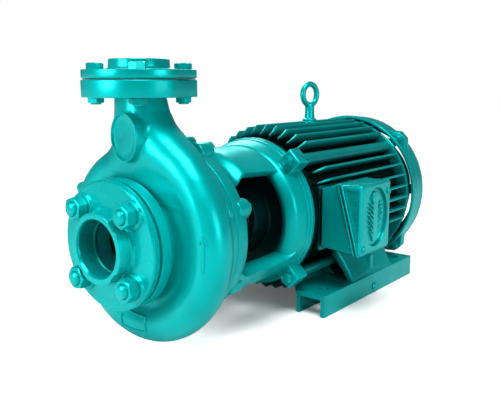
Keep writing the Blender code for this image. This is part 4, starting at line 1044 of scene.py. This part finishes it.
def make_terminal_box():
    """The box with its leaning seam, the gasket in the seam, and the cable gland in the back."""
    gap, sheet = 0.0003, 0.0011
    base = [(-0.1028, AXIS + 0.0410, 0.001), (*SEAM_TOP, 0.0012), (*SEAM_BOTTOM, 0.0012),
            (-0.1028, AXIS - 0.0400, 0.001)]
    hollow = [(-0.09, AXIS + 0.0370), (-0.140, AXIS + 0.0445), (-0.170, AXIS - 0.0415),
              (-0.09, AXIS - 0.0360)]
    body = side_prism("body", base, BOX_FRONT, BOX_REAR, 0.0030)
    lip = seam_lip("lip", (SEAM_TOP[0] + 0.0040, SEAM_TOP[0]), (SEAM_BOTTOM[0], SEAM_BOTTOM[0] + 0.0040))
    inside = side_prism("inside", hollow, BOX_FRONT + 0.004, BOX_REAR - 0.004, 0.0)
    through = frame_at((0, ENTRY_Y, AXIS))
    entry = rod("entry", 0.374, 0.390, 0.0070, through, 0, 24)
    box = fused("box", [body, lip], [inside, entry])
    finish(box, "terminal_box_cast", MOTOR, "terminal_box")

    line = [(SEAM_TOP[0] - gap, SEAM_TOP[1]), (SEAM_TOP[0] - gap - sheet, SEAM_TOP[1]),
            (SEAM_BOTTOM[0] - gap - sheet, SEAM_BOTTOM[1]), (SEAM_BOTTOM[0] - gap, SEAM_BOTTOM[1])]
    gasket = side_prism("seal", line, BOX_FRONT + 0.0004, BOX_REAR - 0.0004, 0.0002, 1)
    hole = side_prism("seal_hole", hollow, BOX_FRONT + 0.004, BOX_REAR - 0.004, 0.0)
    finish(fused("gasket", [gasket], [hole]), "terminal_gasket_sheet", RUBBER, "terminal_gasket")
    make_terminal_lid(SEAM_TOP[0] - 2 * gap - sheet, SEAM_BOTTOM[0] - 2 * gap - sheet)

    gland = hexagon_solid("gland", BOX_REAR + 0.0014, 0.3935, 0.018, through, chamfer=(0, 1))
    neck = rod("gland_neck", 0.3765, 0.3840, 0.0066, through, 0.0002, 32)
    dome = turned("gland_dome", [(0.392, 0), (0.392, 0.0074), (0.3965, 0.0072, 0.001),
                                 (0.399, 0.0058, 0.001), (0.399, 0)], through, 40)
    bore = rod("gland_bore", 0.386, 0.41, 0.0035, through, 0, 24)
    gland = fused("gland", [gland, neck, dome], [bore])
    finish(gland, "cable_gland_moulded", PLASTIC, "cable_gland")


def make_terminal_lid(top, bottom):
    """A deep lid from the seam at top and bottom out to its face, with a sunk oval and two screws."""
    outline = [(top, SEAM_TOP[1], 0.0008), (LID_FACE, AXIS + 0.0495, 0.0035),
               (LID_FACE, AXIS - 0.0435, 0.0035), (bottom, SEAM_BOTTOM[1], 0.0008)]
    lid = side_prism("lid", outline, BOX_FRONT, BOX_REAR, 0.0035, 4)
    lip = seam_lip("lid_lip", (top, top - 0.0034), (bottom - 0.0034, bottom))
    inner = [(top + 0.02, AXIS + 0.0440), (LID_FACE + 0.0068, AXIS + 0.0455),
             (LID_FACE + 0.0068, AXIS - 0.0380), (bottom + 0.02, AXIS - 0.0380)]
    holes = [side_prism("lid_inside", inner, BOX_FRONT + 0.006, BOX_REAR - 0.006, 0.0)]
    panel = [(top - 0.0080, AXIS + 0.0415, 0.002), (LID_FACE + 0.0042, AXIS + 0.0415, 0.002),
             (LID_FACE + 0.0042, AXIS - 0.0240, 0.001), (LID_FACE + 0.0050, AXIS - 0.0270, 0.001)]
    holes.append(side_prism("side_panel", panel, BOX_FRONT - 0.01, BOX_FRONT + 0.0016, 0.0004, 1))
    face, reach = from_near_side(*OVAL_CENTRE), -LID_FACE
    recess = oval_outline(0.0325, 0.0395)
    holes.append(prism("recess", recess, reach - 0.0036, reach + 0.002, face, 0.0004, 1))
    groove = prism("groove", oval_outline(0.0332, 0.0402), reach - 0.0052, reach + 0.001, face, 0.0)
    island = prism("island", oval_outline(0.0308, 0.0378), reach - 0.01, reach + 0.01, face, 0.0)
    holes.append(fused("groove", [groove], [island]))
    screws = [(0.308, AXIS - 0.036), (0.375, AXIS + 0.034)]
    for n, (x, z) in enumerate(screws):
        holes.append(rod(f"screw_hole_{n}", 0.150, 0.170, 0.0027, from_near_side(x, z), 0, 24))
    finish(fused("cover", [lid, lip], holes), "terminal_lid_cast", SMOOTH, "terminal_lid")
    make_badge(face)
    head = [(reach + 0.0003, 0), (reach + 0.0003, 0.0045, 0.0003), (reach + 0.0012, 0.0045, 0.0006),
            (reach + 0.0026, 0.0030, 0.001), (reach + 0.0028, 0)]
    for n, (x, z) in enumerate(screws):
        slotted_screw(f"lid_screw_{n + 1}", x, z, head, (0.1590, 0.1660), 0.0022, (0.006, 0.0005),
                      (reach + 0.0016, reach + 0.004), 0.8 - n)


def oval_outline(half_wide, half_high, count=96):
    """Points of an ellipse."""
    turn = np.linspace(0, 2 * math.pi, count, endpoint=False)
    return [(half_wide * math.cos(a), half_high * math.sin(a)) for a in turn]


def make_badge(face):
    """A plain raised fan of ribs under a round knob, inside the lid's oval."""
    low, high = -LID_FACE - 0.0040, -LID_FACE - 0.0004
    ribs = []
    for n in range(7):
        for side in (-1, 1):
            tilt = math.radians(52 - 4 * n)
            length = 0.0165 - 0.0011 * abs(n - 3) ** 1.3
            start = np.array([side * 0.0050, -0.0270 + 0.0070 * n])
            end = start + length * np.array([side * math.cos(tilt), math.sin(tilt)])
            normal = 0.0019 * np.array([-math.sin(tilt) * side, math.cos(tilt)])
            outline = [start - normal, end - normal * 0.3, end + normal * 0.3, start + normal]
            ribs.append(prism(f"rib_{side}_{n}", [(*p, 0.0004) for p in outline], low, high, face, 0.0008))
    spine = prism("spine", [(-0.0060, -0.033, 0.002), (0.0060, -0.033, 0.002), (0.0055, 0.024, 0.002),
                            (-0.0055, 0.024, 0.002)], low, high, face, 0.0010)
    origin, axes = face
    knob = rod("knob", low, high + 0.0002, 0.0088, (origin + 0.0262 * axes[2], axes), 0.0012)
    finish(fused("badge", [spine, knob] + ribs), "lid_rib_relief", SMOOTH)


# ---------------------------------------------------------------- turning parts and the inside
def make_turning_parts():
    """The stepped shaft, the slinger ring on it and the dished cover behind the impeller."""
    shaft = turned("shaft", [
        (0.052, 0), (0.052, 0.0075, 0.001), (0.068, 0.0075), (0.068, 0.0100, 0.0004),
        (0.0975, 0.0100), (0.0975, 0.0120, 0.0004), (0.160, 0.0120), (0.160, 0.0130, 0.0004),
        (0.226, 0.0130), (0.226, 0.0146, 0.0004), (0.256, 0.0146), (0.256, 0.0180, 0.0006),
        (0.330, 0.0180), (0.330, 0.0200, 0.0004), (0.480, 0.0200, 0.0004), (0.480, 0.0170),
        (0.522, 0.0170, 0.0004), (0.522, 0.0121), (0.552, 0.0121, 0.0004), (0.552, 0.0100),
        (0.588, 0.0100, 0.001), (0.588, 0),
    ], steps=64)
    finish(shaft, "shaft_turned", STEEL, "shaft", "rotor")
    slinger = turned("slinger", [
        (0.168, 0.0136, 0.0004), (0.168, 0.020, 0.001), (0.1745, 0.024, 0.001), (0.1765, 0.046, 0.0008),
        (0.1790, 0.046, 0.0008), (0.1790, 0.022, 0.002), (0.186, 0.018, 0.001), (0.186, 0.0136, 0.0004),
    ], steps=80)
    finish(slinger, "slinger_ring_moulded", RUBBER, "slinger_ring", "rotor")
    cover = turned("cover", [
        (0.1105, 0.0210, 0.0004), (0.1105, 0.0300, 0.001), (0.1135, 0.0340, 0.001),
        (0.1135, 0.0855, 0.0006), (0.1213, 0.0855), (0.1213, 0.0906, 0.0004),
        (0.1270, 0.0906, 0.0006), (0.1270, 0.0340, 0.004), (0.1400, 0.0280, 0.002),
        (0.1420, 0.0150, 0.0006), (0.1195, 0.0150), (0.1195, 0.0210),
    ], steps=128)
    # The cover is painted near-black as painted shade inside the bracket
    finish(cover, "casing_cover_turned", SHADE_BLACK, "casing_cover")


CAD_LOOKS = {
    STEEL: ["impeller_key", "impeller_nut", "seal_spring", "front_bearing_inner_ring",
            "front_bearing_outer_ring", "rear_bearing_inner_ring", "rear_bearing_outer_ring"],
    BRONZE: ["impeller", "front_ball_cage", "rear_ball_cage"],
    LAMINATED: ["rotor_core", "stator_core"],
    COPPER: ["stator_winding_front", "stator_winding_rear"],
    CARBON: ["seal_rotating_head", "seal_seat"],
    FIBRE: ["casing_gasket"],
    PLASTIC: ["cooling_fan", "terminal_block"],
}


def dress_cad_nodes():
    """Gives the CAD nodes that stay their finish."""
    for look, names in CAD_LOOKS.items():
        for name in names:
            node = frame["nodes"][name]
            node.data.materials.clear()
            node.data.materials.append(look)



# ---------------------------------------------------------------- studio
def linked(thing):
    """The object, put into the scene."""
    bpy.context.scene.collection.objects.link(thing)
    return thing


def seen_tone(tree, seen, unseen):
    """One tone where the surface is looked at, another for the light that it sends on to the pump. Also
    returns the output that is 1 where it is looked at."""
    path = tree.nodes.new("ShaderNodeLightPath").outputs["Is Camera Ray"]
    mix = tree.nodes.new("ShaderNodeMix")
    mix.data_type = "RGBA"
    mix.inputs["A"].default_value = (*grey(unseen), 1)
    mix.inputs["B"].default_value = (*grey(seen), 1)
    tree.links.new(path, mix.inputs["Factor"])
    return mix.outputs["Result"], path


def make_surroundings():
    """A white background that gives off little light of its own."""
    world = bpy.data.worlds.new("studio")
    bpy.context.scene.world = world
    world.use_nodes = True
    tree = world.node_tree
    tone, _ = seen_tone(tree, 1.0, 0.14)
    tree.links.new(tone, tree.nodes["Background"].inputs["Color"])


def make_floor():
    """A pale paper floor that glows as painted light where the camera sees it: white in front of the pump,
    less and less along x, which washes out the pump's shadow there.
    """
    floor_mesh = bpy.data.meshes.new("floor")
    side = 9.0
    corners = [(-side, -side, 0), (side, -side, 0), (side, side, 0), (-side, side, 0)]
    floor_mesh.from_pydata(corners, [], [(0, 1, 2, 3)])
    floor = linked(bpy.data.objects.new("floor", floor_mesh))
    paper, tree, shader = material("pale_paper", grey(0.93), 0.9)
    bump(tree, shader, [(noise(tree, 400, 2), 0.0001, 0.1)])
    tone, path = seen_tone(tree, 0.93, 0.68)
    tree.links.new(tone, shader.inputs["Base Color"])
    place = tree.nodes.new("ShaderNodeSeparateXYZ")
    tree.links.new(tree.nodes.new("ShaderNodeTexCoord").outputs["Object"], place.inputs["Vector"])
    # Painted light: emission, for camera rays only, strong in front of the pump and faint behind it, washing
    # out its shadow
    glow = tree.nodes.new("ShaderNodeMapRange")
    glow.interpolation_type = "SMOOTHSTEP"
    for socket, value in (("From Min", -0.20), ("From Max", -0.07), ("To Min", 0.85), ("To Max", 0.10)):
        glow.inputs[socket].default_value = value
    tree.links.new(place.outputs["X"], glow.inputs["Value"])
    lift = tree.nodes.new("ShaderNodeMath")
    lift.operation = "MULTIPLY"
    tree.links.new(path, lift.inputs[0])
    tree.links.new(glow.outputs["Result"], lift.inputs[1])
    tree.links.new(lift.outputs["Value"], shader.inputs["Emission Strength"])
    shader.inputs["Emission Color"].default_value = (1, 1, 1, 1)
    floor_mesh.materials.append(paper)


def make_light(name, at, target, size, power):
    """A square lamp at one place that faces another."""
    lamp = bpy.data.lights.new(name, "AREA")
    lamp.shape = "RECTANGLE"
    lamp.size, lamp.size_y = size, size
    lamp.energy = power
    holder = linked(bpy.data.objects.new(name, lamp))
    holder.location = at
    holder.rotation_euler = (Vector(target) - Vector(at)).to_track_quat("-Z", "Y").to_euler()


def make_studio():
    """Paper, three lamps, a wide overhead light and the camera."""
    make_surroundings()
    make_floor()
    make_light("key_light", (-1.15, 0.28, 0.50), (-0.2, 0, 0.17), 0.45, 7.0)
    make_light("near_light", (-0.25, -1.4, 0.45), (-0.05, -0.1, 0.13), 0.6, 4.5)
    make_light("far_light", (0.60, 0.70, 0.85), (0.0, 0.0, 0.15), 0.5, 6.0)
    sky = bpy.data.lights.new("overhead", "SUN")
    sky.energy, sky.angle = 3.1, math.radians(35)
    holder = linked(bpy.data.objects.new("overhead", sky))
    holder.rotation_euler = Vector((-0.32, -0.30, 1.0)).to_track_quat("Z", "Y").to_euler()

    camera = bpy.data.cameras.new("camera")
    camera.sensor_width, camera.lens = 36, 47.27
    camera.clip_start, camera.clip_end = 0.01, 60
    holder = linked(bpy.data.objects.new("camera", camera))
    holder.location = (-0.7421, -0.54295, 0.3120)
    holder.rotation_euler = [math.radians(angle) for angle in (79.85, 0, -51.95)]
    bpy.context.scene.camera = holder
    bpy.context.scene.view_settings.view_transform = "Standard"


make_volute()
make_suction_flange()
make_discharge_flange()
make_bracket()
make_frame()
make_earth_screw()
make_rear_end()
make_eyebolt()
make_terminal_box()
make_turning_parts()
dress_cad_nodes()
make_studio()
